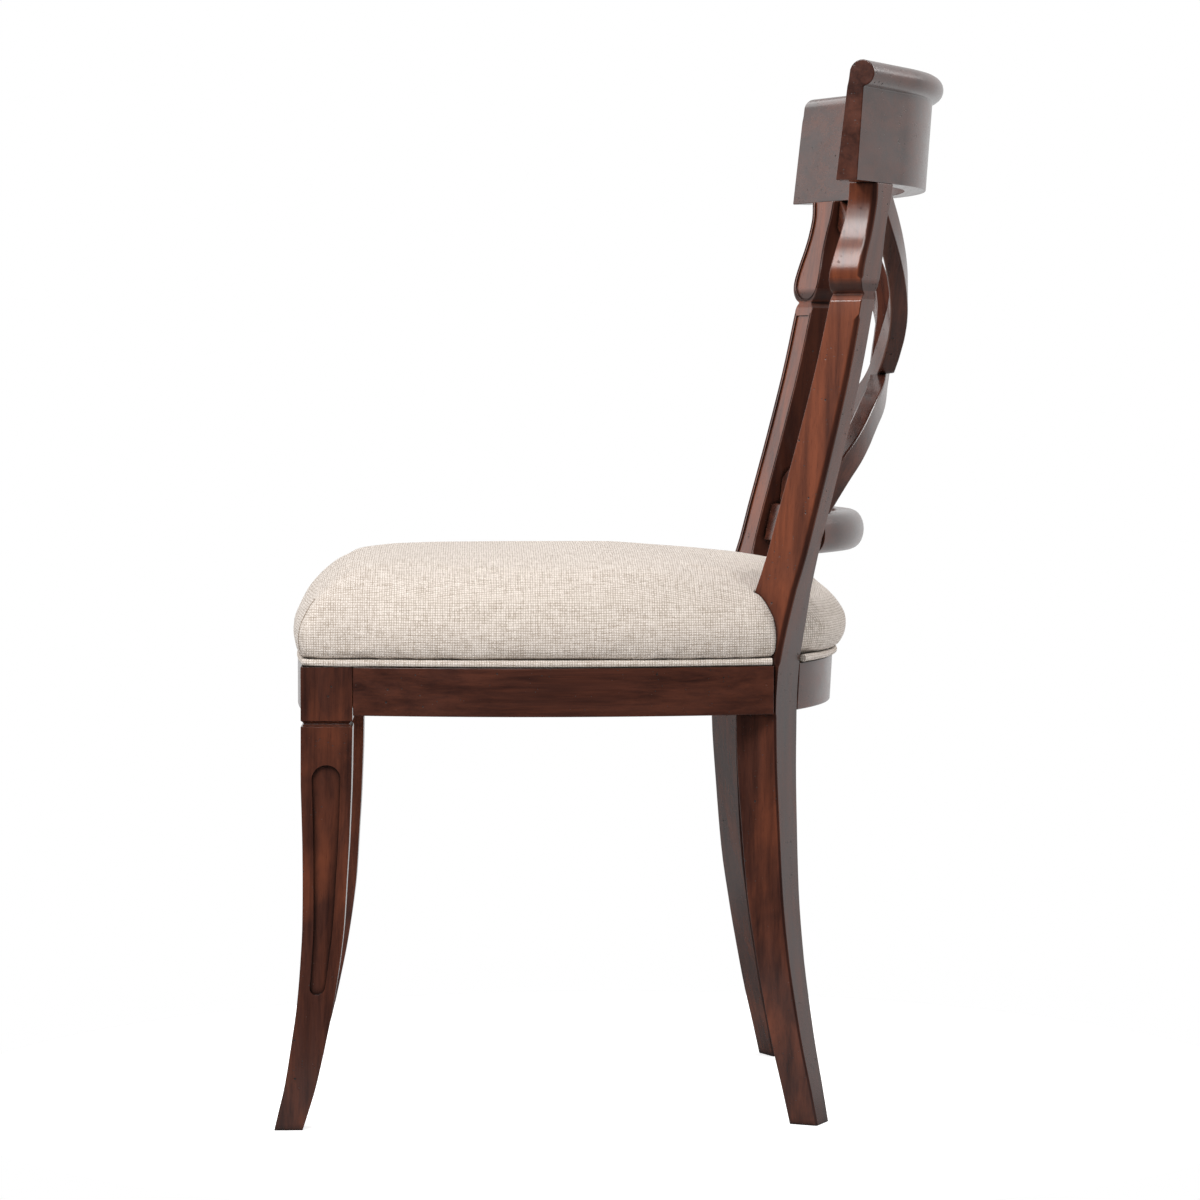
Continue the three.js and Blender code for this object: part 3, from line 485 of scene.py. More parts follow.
def front_leg_levels():
    levels = []
    for z in evenly(0, FRONT_LEG[-1][0], 34):
        front, depth, width, toe = flowing(FRONT_LEG, z)
        right = POST_OUTER - toe / 1000
        levels.append((z / 1000, right - width / 1000, right, front / 1000, (front + depth) / 1000))
    z, left, right, front, rear = levels[-1]
    # A cove runs round under the block at the head of the leg.
    cove = ((0.0007, 0.0011), (0.0017, 0.0021), (0.0026, 0.0026), (0.0035, 0.0021), (0.0045, 0.0011), (0.0052, 0))
    block = 0.0516
    for up, inset in (*cove, (block, 0)):
        levels.append((z + up, left + inset, right - inset, front + inset, rear - inset))
    return levels


def panel_levels(side):
    """The room of a sunk panel with an arched head and foot, on the outer side or on the front of the leg."""
    low, high, sunk, out = 0.118, 0.3178, 0.0033, 0.012
    half_low, half_high = 0.0067, 0.0125
    rows = []
    for k in range(9):
        turn = math.pi / 2 * (k + 0.35) / 9
        rows.append((low + half_low * (1 - math.cos(turn)), half_low * math.sin(turn)))
    for k in range(1, 20):
        share = k / 20
        z = low + half_low + (high - half_high - low - half_low) * share
        rows.append((z, half_low + (half_high - half_low) * share))
    for k in range(10):
        turn = math.pi / 2 * k / 9.6
        rows.append((high - half_high + half_high * math.sin(turn), half_high * math.cos(turn)))
    levels = []
    for z, half in rows:
        front, depth, width, toe = (value / 1000 for value in flowing(FRONT_LEG, z * 1000))
        right = POST_OUTER - toe
        if side:
            middle = front + depth / 2
            levels.append((z, right - sunk, right + out, middle - half, middle + half))
        else:
            middle = right - width / 2
            levels.append((z, middle - half, middle + half, front - out, front + sunk))
    return levels


def make_front_leg():
    leg = draw_up("front_leg_left_wood", front_leg_levels())
    carve(leg, *[draw_up("panel_room", panel_levels(side)) for side in (True, False)])
    return soften(leg, 0.0008, 50)


# Seat rails

CHEEK_X = STILE_OUTER + CHEEK * TURN_COS
CHEEK_Y = BACK_REAR - plan_drop(STILE_OUTER) - CHEEK * TURN_SIN
SIDE_START = POST_FRONT + POST_SIZE + GAP


def side_line(y):
    share = max(0, min(1, (y - SIDE_START) / (CHEEK_Y - SIDE_START)))
    return POST_OUTER + (CHEEK_X - POST_OUTER) * share + SIDE_BOW * 4 * share * (1 - share)


def front_line(x, half):
    return POST_FRONT - FRONT_BOW * (1 - (x / half) ** 2)


def make_side_rail():
    rail = draw_through("side_rail_left_wood", [(side_line(y), y) for y in evenly(SIDE_START, CHEEK_Y, 28)])
    # The rail is cut off at the leg, which here is 37.5 mm deep.
    room = draw_up("leg_room", [(z, -0.07, GAP, -0.0378, 0.03) for z in (RAIL_BOTTOM - 0.02, RAIL_TOP + 0.02)])
    set_on_back(room)
    carve(rail, room)
    return soften(rail, 0.0007)


def make_front_rail():
    post_inner = POST_OUTER - POST_SIZE
    places = evenly(-(post_inner - GAP), post_inner - GAP, 20)
    return soften(draw_through("front_rail_wood", [(x, front_line(x, post_inner)) for x in places]))


def make_rear_rail():
    lean = 0.0023
    section = [(0, RAIL_BOTTOM), (lean, RAIL_TOP), (lean - RAIL_THICKNESS, RAIL_TOP), (-RAIL_THICKNESS, RAIL_BOTTOM)]
    return soften(sweep_back("rear_rail_wood", section, BACK_REAR, LEG_INNER - GAP))


# Back rails and splat

def make_crest():
    """A rail with a roll along its top. Its faces are given as offset and height above its foot."""
    rear_face = [(-0.0194, 0), (0, 0), (0.0029, 0.040), (0.0058, 0.0795)]
    front_face = [(-0.0079, 0.085), (-0.0092, 0.0795), (-0.0143, 0.040)]
    roll_offset, roll_height, radius = 0.0043, CREST_BOTTOM + 0.0907, 0.0114
    section = [(offset, CREST_BOTTOM + up) for offset, up in rear_face]
    for degrees in evenly(-77.4, 180, 16):
        turn = math.radians(degrees)
        section.append((roll_offset + radius * math.cos(turn), roll_height + radius * math.sin(turn)))
    section += [(offset, CREST_BOTTOM + up) for offset, up in front_face]
    return soften(sweep_back("crest_rail_wood", section, CREST_REAR, CREST_HALF), 0.0016, 50)


def make_lower_rail():
    """A rail with a round rear face, flat above, below and in front."""
    middle = (LOWER_RAIL_BOTTOM + LOWER_RAIL_TOP) / 2
    high = (LOWER_RAIL_TOP - LOWER_RAIL_BOTTOM) / 2
    rows = []
    for k in range(15):
        turn = math.radians(-90 + 180 * k / 14)
        swell = 0.013 * abs(math.cos(turn)) ** 0.9 if 0 < k < 14 else 0
        rows.append((-0.012 + swell, middle + high * math.sin(turn)))
    rows += [(-0.024, LOWER_RAIL_TOP), (-0.032, LOWER_RAIL_BOTTOM)]
    return soften(sweep_back("lower_back_rail_wood", rows, rear_at(middle), STILE_INNER - GAP), ARRIS, 60)


def rounded_section(deep, wide, corner):
    """A curve for the section of a bar, with four points round each corner."""
    deselect()
    bpy.ops.curve.primitive_bezier_circle_add()
    edge = bpy.context.object
    outline = []
    for sx, sy in ((1, -1), (1, 1), (-1, 1), (-1, -1)):
        for k in range(4):
            turn = math.atan2(sy, sx) - math.pi / 4 + math.pi / 2 * k / 3
            outline.append((sx * (deep / 2 - corner) + corner * math.cos(turn),
                            sy * (wide / 2 - corner) + corner * math.sin(turn), 0))
    edge.data.splines.clear()
    line_through(edge.data, "POLY", outline).use_cyclic_u = True
    return edge


def bar_along_splat(name, rising, offset, thickness, width, corner):
    """A bar bent along the splat's line, its middle at offset from the rear face."""
    deselect()
    bpy.ops.curve.primitive_bezier_curve_add()
    line = named(name)
    points = []
    for x in evenly(SPLAT[0][0], SPLAT[-1][0], 22):
        z = flowing(SPLAT, x)[0] / 1000
        bow = flowing(SPLAT_BOW, z * 1000)[0] / 1000
        points.append(back_point(rising * x / 1000, rear_at(z), offset + bow, z))
    bends = line.data.splines[0].bezier_points
    bends.add(len(points) - len(bends))
    for bend, point in zip(bends, points):
        bend.co = point
        bend.handle_left_type = bend.handle_right_type = "AUTO"
    edge = rounded_section(thickness, width, corner)
    set_all(line.data, dimensions="3D", twist_mode="Z_UP", resolution_u=4, bevel_mode="OBJECT",
            bevel_object=edge, use_fill_caps=True)
    take(line)
    bpy.ops.object.convert(target="MESH")
    throw_away(edge)
    bar = named(name)
    apply_place(bar)
    return face_out(bar)


def make_splat(leg_rooms):
    width, thickness, inset, room_depth = 0.024, 0.016, 0.004, 0.020
    middle = -inset - thickness / 2
    above, below = (draw_up("beyond", [(z, -0.3, 0.3, -0.3, 0.5) for z in heights]) for heights in (
        (CREST_BOTTOM - GAP, CREST_BOTTOM + 0.1), (LOWER_RAIL_BOTTOM, LOWER_RAIL_TOP + GAP)))
    bars = []
    for rising, side in ((1, "left"), (-1, "right")):
        bar = bar_along_splat(f"splat_bar_rising_{side}_wood", rising, middle, thickness, width, 0.002)
        lap = middle + rising * (room_depth / 2 + GAP / 2)
        room = bar_along_splat("lap_room", -rising, lap, room_depth, width + 2 * GAP, 0.0002)
        # The second bar is also fitted to the first, because their faces stand at a small angle to each other.
        cut_away(bar, room, above, below, *leg_rooms, *bars)
        throw_away(room)
        shade(bar)
        bars.append(bar)
    throw_away(above, below)
    return bars


# Seat

REAR_STEPS = 16


def half_seat_outline():
    """The left half of the seat's plan, from the middle of the front to the middle of the rear."""
    corner = 0.014
    flat = POST_OUTER - corner
    points = [(x, front_line(x, flat)) for x in evenly(0, flat, 12)[:-1]]
    for k in range(6):
        turn = math.pi / 2 * (k / 5 - 1)
        points.append((flat + corner * math.cos(turn), POST_FRONT + corner + corner * math.sin(turn)))
    points += [(side_line(y), y) for y in evenly(SIDE_START, CHEEK_Y, 30)[1:]]
    for k in range(1, REAR_STEPS + 1):
        x = STILE_OUTER * (1 - k / REAR_STEPS)
        points.append((x, BACK_REAR - plan_drop(x)))
    return points


HALF_OUTLINE = half_seat_outline()
SEAT_OUTLINE = HALF_OUTLINE + [(-x, y) for x, y in reversed(HALF_OUTLINE[1:-1])]


def outline_normal(k):
    count = len(SEAT_OUTLINE)
    before, after = Vector(SEAT_OUTLINE[(k - 1) % count]), Vector(SEAT_OUTLINE[(k + 1) % count])
    along = (after - before).normalized()
    return Vector((along.y, -along.x))


def cushion_ring(row, shrink):
    inward, up, side_bulge, rear_bulge = row
    ring = []
    for k, (x, y) in enumerate(SEAT_OUTLINE):
        normal = outline_normal(k)
        rearward = max(0, normal.y)
        side_part, rear_part = side_bulge, rear_bulge
        # The cover is drawn in towards the stiles, at the sides and at the rear.
        if side_bulge > 0:
            side_part *= 1 - 0.85 * eased(y, 0.045, 0.135)
            if rearward > 0.5:
                rear_part *= 1 - 0.95 * eased(abs(x), 0.125, 0.166)
        bulge = (side_part * (1 - rearward) + rear_part * rearward) / 1000 - shrink
        px = (x + normal.x * bulge) * (1 - inward)
        py = (y + normal.y * bulge) * (1 - inward) + CUSHION_CENTRE * inward
        # The top falls towards the rear and the sides.
        fall = 0.0105 * max(0, min(1, py / 0.150)) + 0.012 * (px / 0.200) ** 2
        ring.append(Vector((px, py, RAIL_TOP + up * (CUSHION_HEIGHT - fall * up) - shrink * up)))
    return ring


def padded_form(name, shrink, bottom):
    """The crowned cushion as a closed form over the plan of the seat frame."""
    shape = bmesh.new()
    rows = [row for row in CUSHION if RAIL_TOP + row[1] * CUSHION_HEIGHT > bottom + 0.0015]
    rings = [[Vector((p.x, p.y, bottom)) for p in cushion_ring(rows[0], shrink)]]
    rings += [cushion_ring(row, shrink) for row in rows]
    made = [[shape.verts.new(point) for point in ring] for ring in rings]
    count = len(SEAT_OUTLINE)
    for low, high in zip(made, made[1:]):
        for k in range(count):
            shape.faces.new((low[k], low[(k + 1) % count], high[(k + 1) % count], high[k]))
    shape.faces.new(reversed(made[0]))
    top = shape.verts.new((0, CUSHION_CENTRE, RAIL_TOP + CUSHION_HEIGHT - shrink))
    for k in range(count):
        shape.faces.new((made[-1][k], made[-1][(k + 1) % count], top))
    bmesh.ops.recalc_face_normals(shape, faces=shape.faces)
    mesh = bpy.data.meshes.new(name)
    shape.to_mesh(mesh)
    shape.free()
    return put_in(name, mesh)


def stile_rooms():
    """The room of each stile and the room behind and outside it, where the cushion stops."""
    near = [level for level in rear_leg_levels(0.0008) if 0.37 < level[0] < 0.56]
    post = draw_up("stile_room_left", near)
    behind = draw_up("behind_stile_left", [(level[0], level[1], 0.06, -0.0005, 0.06) for level in near])
    for room in (post, behind):
        set_on_back(room)
    return [post, behind, other_side(post, "stile_room_right"), other_side(behind, "behind_stile_right")]


def inflate(cushion, base):
    """Blows the cover up as cloth that is held at its foot, and limits how far each point moves."""
    swell_limit, less_on_top, sink_limit, creep_limit = 0.0045, 0.003, 0.0006, 0.002
    rest = [(v.co.copy(), v.normal.copy()) for v in cushion.data.vertices]
    take(cushion)
    pins = cushion.vertex_groups.new(name="held")
    for v in cushion.data.vertices:
        held = max(0.0, min(1.0, (base + 0.010 - v.co.z) / 0.008))
        if held > 0:
            pins.add([v.index], held, "REPLACE")
    cloth = cushion.modifiers.new("cloth", "CLOTH")
    set_all(cloth.settings, quality=4, mass=0.2, tension_stiffness=20, compression_stiffness=15,
            bending_stiffness=3, use_pressure=True, uniform_pressure_force=4, vertex_group_mass="held")
    cloth.settings.effector_weights.gravity = 0
    cloth.collision_settings.use_collision = False
    set_all(cloth.point_cache, frame_start=1, frame_end=20)
    for step in range(1, 21):
        bpy.context.scene.frame_set(step)
    bpy.ops.object.modifier_apply(modifier="cloth")
    bpy.context.scene.frame_set(1)
    for v, (was, out) in zip(cushion.data.vertices, rest):
        moved = v.co - was
        swell = moved.dot(out)
        creep = moved - out * swell
        if creep.length > creep_limit:
            creep *= creep_limit / creep.length
        v.co = was + out * max(-sink_limit, min(swell_limit - less_on_top * max(0, out.z), swell)) + creep


def make_cushion(leg_rooms):
    base = RAIL_TOP + 0.0058
    cushion = padded_form("seat_cushion", 0.0004, base)
    apply_modifier(cushion, "REMESH", mode="VOXEL", voxel_size=0.006, adaptivity=0.0)
    inflate(cushion, base)
    apply_modifier(cushion, "SMOOTH", factor=0.5, iterations=2)
    apply_modifier(cushion, "SUBSURF", levels=1, render_levels=1)
    cut_away(cushion, *leg_rooms)
    take(cushion)
    bpy.ops.object.shade_smooth()
    return cushion


def make_corner_seams(cushion):
    """The upright seams at the two front corners, sewn along the surface of the cushion."""
    seams = []
    for side, label in ((1, "left"), (-1, "right")):
        out = Vector((side * 0.66, -0.75, 0)).normalized()
        points = []
        for k in range(12):
            z = RAIL_TOP + 0.008 + 0.050 * k / 11
            start = Vector((side * 0.150, -0.208, z)) + out * 0.3
            hit, place, normal = cushion.ray_cast(start, -out)[:3]
            if hit:
                points.append(place - normal * 0.0003)
        seams.append(sewn_tube(f"seat_corner_seam_{label}", points, 0.0009))
    return seams


def make_dust_cover():
    """The cambric stretched under the seat, sagging a little towards the middle. Returns it with the size and area of
    its cut.
    """
    take(chair_nodes["dust_cover"])
    bpy.ops.object.duplicate()
    cover = named("dust_cover_cambric")
    for key in list(cover.keys()):
        del cover[key]
    face_out(cover)
    height = max(v.co.z for v in cover.data.vertices)
    edit(cover)
    select_where(cover, "faces", lambda f: f.normal.z > -0.9)
    bpy.ops.mesh.delete(type="ONLY_FACE")
    select_where(cover, "verts", lambda v: not v.link_faces)
    bpy.ops.mesh.delete(type="VERT")
    bpy.ops.mesh.select_all(action="SELECT")
    bpy.ops.mesh.dissolve_limited(angle_limit=math.radians(1))
    bpy.ops.mesh.inset(thickness=0.012, depth=0, use_even_offset=False)
    for k in range(-9, 10):
        for across in (Vector((1, 0, 0)), Vector((0, 1, 0))):
            bpy.ops.mesh.select_all(action="SELECT")
            bpy.ops.mesh.bisect(plane_co=across * 0.03 * k, plane_no=across)
    leave_edit()
    area = sum(face.area for face in cover.data.polygons)
    columns = list(zip(*(v.co for v in cover.data.vertices)))
    width, length = (max(column) - min(column) for column in columns[:2])
    for v in cover.data.vertices:
        slack = (1 - eased(abs(v.co.x), 0.03, 0.135)) * (1 - eased(abs(v.co.y + 0.05), 0.03, 0.15))
        v.co.z = height - 0.0003 - 0.003 * slack
    apply_modifier(cover, "SOLIDIFY", thickness=0.0005, offset=0)
    face_out(cover)
    take(cover)
    bpy.ops.object.shade_smooth_by_angle(angle=math.radians(30))
    return cover, (width, length), area


def make_welts():
    """The welt from stile to stile round the front, and the one between the stiles at the rear."""
    height = RAIL_TOP + GAP + WELT_RADIUS
    inset = WELT_RADIUS - GAP
    path = [Vector((x, y, height)) - inset * outline_normal(k).to_3d() for k, (x, y) in enumerate(SEAT_OUTLINE)]
    side_end = len(HALF_OUTLINE) - REAR_STEPS - 1
    front = path[len(path) - side_end:] + path[:side_end + 1]
    half = LEG_INNER - 0.001 - WELT_RADIUS
    rear = [back_point(half * (1 - k / 12), BACK_REAR, 0.0035, height) for k in range(25)]
    return [sewn_tube("seat_welt_front_linen", front, WELT_RADIUS),
            sewn_tube("seat_welt_rear_linen", rear, WELT_RADIUS)]


# Small helps for finishes

def tree_of(*values):
    """The node tree in which the values stand that are sockets."""
    return next(value.id_data for value in values if isinstance(value, bpy.types.NodeSocket))


def feed(socket, value):
    """Links the value to the socket where it is a socket too, and sets it otherwise."""
    if isinstance(value, bpy.types.NodeSocket):
        socket.id_data.links.new(value, socket)
    else:
        socket.default_value = (*value, 1) if socket.type == "RGBA" else value


def feed_all(node, values):
    for key, value in values.items():
        feed(node.inputs[key], value)


def add_node(tree, kind, values=None, **settings):
    made = tree.nodes.new("ShaderNode" + kind)
    set_all(made, **settings)
    feed_all(made, values or {})
    return made


def reckon(operation, *values, clamp=False):
    made = add_node(tree_of(*values), "Math", dict(enumerate(values)), operation=operation, use_clamp=clamp)
    return made.outputs[0]


def plus(a, b, clamp=False):
    return reckon("ADD", a, b, clamp=clamp)


def less(a, b, clamp=False):
    return reckon("SUBTRACT", a, b, clamp=clamp)


def times(a, b):
    return reckon("MULTIPLY", a, b)


def larger(a, b):
    return reckon("MAXIMUM", a, b)


def mix_colour(share, a, b):
    return add_node(tree_of(share), "Mix", {0: share, 6: a, 7: b}, data_type="RGBA").outputs[2]


def mix_value(share, a, b):
    return add_node(tree_of(share), "Mix", {0: share, 2: a, 3: b}).outputs[0]


def ramp(value, low, high):
    return add_node(tree_of(value), "MapRange", {0: value, 1: low, 2: high}, clamp=True).outputs[0]


def band(value, low, full, full_again, high):
    """Rises from low to full and falls from full_again to high."""
    return times(ramp(value, low, full), ramp(value, high, full_again))


def split(vector):
    return list(add_node(tree_of(vector), "SeparateXYZ", {0: vector}).outputs)


def noise(vector, scale, detail=4.0, roughness=0.5, distortion=0.0):
    values = {"Vector": vector, "Scale": scale, "Detail": detail, "Roughness": roughness, "Distortion": distortion}
    return add_node(tree_of(vector), "TexNoise", values).outputs[0]


def placed(vector, **change):
    return add_node(tree_of(vector), "Mapping", {"Vector": vector, **change}).outputs[0]


def openness(tree, samples):
    """Low in corners and creases, up to 6 mm from the other face."""
    return add_node(tree, "AmbientOcclusion", {"Distance": 0.006}, samples=samples).outputs["AO"]


def bumped(height, strength, distance):
    values = {"Strength": strength, "Distance": distance, "Height": height}
    return add_node(tree_of(height), "Bump", values).outputs[0]


def new_group(name, inputs, outputs):
    group = bpy.data.node_groups.new(name, "ShaderNodeTree")
    for label, kind, default in inputs:
        socket = group.interface.new_socket(label, in_out="INPUT", socket_type=kind)
        if default is not None:
            socket.default_value = default
    for label, kind in outputs:
        group.interface.new_socket(label, in_out="OUTPUT", socket_type=kind)
    given, result = group.nodes.new("NodeGroupInput"), group.nodes.new("NodeGroupOutput")
    return group, list(given.outputs)[:len(inputs)], result


# Finishes

FLOAT, COLOUR, VECTOR = "NodeSocketFloat", "NodeSocketColor", "NodeSocketVector"
# The black of the worm holes, and the black of the dark glazing and painted shade in corners and grooves
HOLE_BLACK, GLAZE_AND_SHADE_BLACK = (0.004, 0.003, 0.002), (0.007, 0.004, 0.003)


def mahogany_group():
    """Grain along Z, with pores, worn red places and worm holes; darker in corners and grooves, partly a real dark
    glazing in the joints and partly painted shade; and on a post, painted shade on its inner sides, turned arris,
    under its lip and behind.
    """
    group, (vector, dark, brown, red, redness, handled_and_shaded), result = new_group("antiqued mahogany", [
        ("Vector", VECTOR, None),
        ("Dark", COLOUR, (0.026, 0.010, 0.008, 1)),
        ("Brown", COLOUR, (0.078, 0.026, 0.017, 1)),
        ("Red", COLOUR, (0.230, 0.060, 0.025, 1)),
        ("Redness", FLOAT, 0.5),
        ("Handled_and_shaded", FLOAT, 0.0),
    ], [("Color", COLOUR), ("Roughness", FLOAT), ("Coat", FLOAT), ("Height", FLOAT)])
    broad = noise(placed(vector, Scale=(1, 1, 0.42)), 21, 4, 0.55, 0.6)
    figure = noise(placed(vector, Scale=(1, 1, 0.07)), 80, 5, 0.62, 0.35)
    fine = noise(placed(vector, Scale=(1, 1, 0.035)), 460, 3, 0.6)
    pore = ramp(noise(placed(vector, Scale=(1, 1, 0.055)), 1300, 2, 0.5), 0.60, 0.72)
    worn = ramp(broad, 0.41, 0.63)
    x, y, z = split(add_node(group, "TexCoord").outputs["Object"])
    across, back, up = split(add_node(group, "NewGeometry").outputs["Normal"])
    outward = times(across, reckon("SIGN", x))
    # On a back post, painted shade darkens its inner sides, the turned rear arris, a band under the lip of its head
    # and its rear faces.
    inner = ramp(outward, -0.6, -0.8)
    arris = times(band(back, -0.30, 0.0, 0.55, 0.80), ramp(outward, 0.5, 0.6))
    under_lip = band(z, 0.7255, 0.7275, 0.7325, 0.7385)
    behind = times(ramp(back, 0.62, 0.82), 0.6)
    painted_post_shade = times(larger(larger(inner, arris), larger(under_lip, behind)), handled_and_shaded)
    on_lip = times(band(z, 0.7195, 0.7205, 0.7335, 0.7385), handled_and_shaded)
    touched = times(ramp(z, 0.38, 0.56), handled_and_shaded)
    redness = plus(times(worn, redness), touched, clamp=True)
    stripe = ramp(figure, 0.30, 0.62)
    colour = mix_colour(redness, mix_colour(stripe, dark, brown), mix_colour(stripe, brown, red))
    colour = mix_colour(times(ramp(fine, 0.42, 0.72), 0.12), colour, red)
    # Painted shade on the post: its inner sides, turned arris, underside of the lip and rear faces go dark.
    colour = mix_colour(times(painted_post_shade, 0.85), colour, dark)
    colour = mix_colour(times(pore, 0.35), colour, dark)
    hole = larger(worm_holes(vector, 130, 0.15, 0.72), worm_holes(vector, 310, 0.20, 0.80))
    hole = times(hole, ramp(noise(vector, 22, 2), 0.49, 0.53))
    colour = mix_colour(times(hole, 0.92), colour, HOLE_BLACK)
    # Ambient occlusion darkens corners, joints and grooves: partly a real dark glazing, partly painted shade.
    glaze_and_shade = ramp(openness(group, 6), 0.36, 0.90)
    rough = plus(plus(plus(times(figure, 0.14), 0.17), times(on_lip, 0.38)), times(hole, 0.4))
    polish = times(less(0.16, times(worn, 0.14)), less(1.0, hole))
    height = less(less(plus(times(figure, 0.22), times(fine, 0.08)), times(pore, 0.06)), times(hole, 1.1))
    feed_all(result, {"Color": mix_colour(glaze_and_shade, GLAZE_AND_SHADE_BLACK, colour), "Roughness": rough,
                      "Coat": times(polish, glaze_and_shade), "Height": height})
    return group


def worm_holes(vector, scale, size, rare):
    """Small round holes in a few of the cells of a scattered pattern."""
    cells = add_node(tree_of(vector), "TexVoronoi", {"Vector": vector, "Scale": scale})
    chance = add_node(tree_of(vector), "SeparateColor", {0: cells.outputs["Color"]}).outputs[0]
    round_hole = less(1.0, ramp(cells.outputs["Distance"], size * 0.6, size))
    return times(round_hole, reckon("GREATER_THAN", chance, rare))


def linen_weave_group():
    """A plain weave of slubby yarn in the plane of the first two coordinates."""
    group, (vector, pitch), result = new_group("linen weave", [
        ("Vector", VECTOR, None),
        ("Pitch", FLOAT, 0.0021),
    ], [("Shade", FLOAT), ("Height", FLOAT)])
    wander = times(less(noise(vector, 60, 2), 0.5), 0.0016)
    waves = [reckon("SINE", reckon("DIVIDE", times(plus(place, wander), math.pi), pitch))
             for place in split(vector)[:2]]
    backs = [reckon("ABSOLUTE", wave) for wave in waves]
    pit = times(*backs)
    warp = noise(placed(vector, Scale=(1, 0.13, 0)), 470, 2, 0.7)
    weft = noise(placed(vector, Scale=(0.13, 1, 0)), 470, 2, 0.7)
    yarn = mix_value(ramp(times(*waves), -0.3, 0.3), warp, weft)
    slub = ramp(yarn, 0.34, 0.66)
    height = plus(plus(times(pit, 0.6), times(larger(*backs), 0.2)), times(slub, 0.25))
    feed_all(result, {"Shade": less(plus(times(slub, 0.70), times(pit, 0.80)), 0.12, clamp=True), "Height": height})
    return group


MAHOGANY = mahogany_group()
WEAVE = linen_weave_group()


def new_material(name):
    """A material, its tree, its shader and the place on the object that its patterns follow."""
    material = bpy.data.materials.new(name)
    material.use_nodes = True
    tree = material.node_tree
    return material, tree, tree.nodes["Principled BSDF"], add_node(tree, "TexCoord").outputs["Object"]


def mahogany(name, turn, redness, handled_and_shaded=0.0):
    """The finish with its grain turned to run along a piece."""
    material, tree, shader, place = new_material(name)
    wood = add_node(tree, "Group", {"Vector": placed(place, Rotation=turn), "Redness": redness, "Handled_and_shaded": handled_and_shaded},
                    node_tree=MAHOGANY).outputs
    feed_all(shader, {"Base Color": wood["Color"], "Roughness": wood["Roughness"], "Coat Weight": wood["Coat"],
                      "Specular IOR Level": 0.55, "Coat Roughness": 0.1,
                      "Normal": bumped(wood["Height"], 0.35, 0.0005)})
    return material


def weave_on(vector, **values):
    return add_node(tree_of(vector), "Group", {"Vector": vector, **values}, node_tree=WEAVE).outputs


def linen(name, light, dark):
    """The weave on each of the three planes, chosen by the way that the cloth faces."""
    material, tree, shader, place = new_material(name)
    facing = add_node(tree, "VectorMath", {0: add_node(tree, "NewGeometry").outputs["Normal"]}, operation="ABSOLUTE")
    x, y, z = split(facing.outputs[0])
    turns = ((0, 0, 0), (0, math.pi / 2, 0), (math.pi / 2, 0, 0))
    level, sideways, forward = (weave_on(placed(place, Rotation=turn)) for turn in turns)
    side = reckon("GREATER_THAN", x, y)
    top = ramp(z, 0.66, 0.76)
    shade, height = (mix_value(top, mix_value(side, forward[label], sideways[label]), level[label])
                     for label in ("Shade", "Height"))
    patches = ramp(noise(place, 14, 3), 0.3, 0.7)
    colour = mix_colour(times(patches, 0.06), mix_colour(shade, dark, light), dark)
    # Painted shade: the cloth darkens in creases and corners found by ambient occlusion.
    crease = ramp(openness(tree, 4), 0.2, 0.75)
    colour = mix_colour(crease, tuple(c * 0.62 for c in dark), colour)
    feed_all(shader, {"Base Color": colour, "Roughness": 0.92, "Specular IOR Level": 0.2, "Sheen Weight": 0.25,
                      "Sheen Roughness": 0.5, "Normal": bumped(height, 0.55, 0.0009)})
    return material


def plain_finish(name, pattern, colours, rough, bump=None, metallic=0.0):
    """Two colours mixed by a pattern, which may also give some of the roughness and the bump."""
    material, _, shader, place = new_material(name)
    shade, height = pattern(place)
    base, share = rough
    feed_all(shader, {"Base Color": mix_colour(shade, *colours), "Metallic": metallic,
                      "Roughness": plus(times(shade, share), base) if share else base})
    if bump:
        feed(shader.inputs["Normal"], bumped(height, *bump))
    return material


def cloudy(scale, detail, low, high, stretch=None):
    """A pattern of clouds, stretched into grain where asked."""
    def pattern(place):
        clouds = ramp(noise(placed(place, Scale=stretch) if stretch else place, scale, detail), low, high)
        return clouds, clouds
    return pattern


def fine_weave(place):
    weave = weave_on(place, Pitch=0.0007)
    return weave["Shade"], weave["Height"]


UPRIGHT = mahogany("mahogany, upright grain", (0.03, 0.04, 0), 0.66)
RISING_LEFT, RISING_RIGHT = (mahogany(f"mahogany, grain rising to the {side}", (0.03, turn, 0), 0.30)
                             for side, turn in (("left", -0.9), ("right", 0.9)))
BACK_POST = mahogany("mahogany, handled back post", (0.03, 0.04, 0), 0.62, 0.9)
ALONG_SIDE = mahogany("mahogany, grain from front to back", (math.pi / 2, 0.03, 0), 0.16)
ACROSS = mahogany("mahogany, grain across", (0, math.pi / 2, 0.02), 0.2)
LINEN = linen("oatmeal linen", (0.935, 0.845, 0.77), (0.40, 0.32, 0.25))
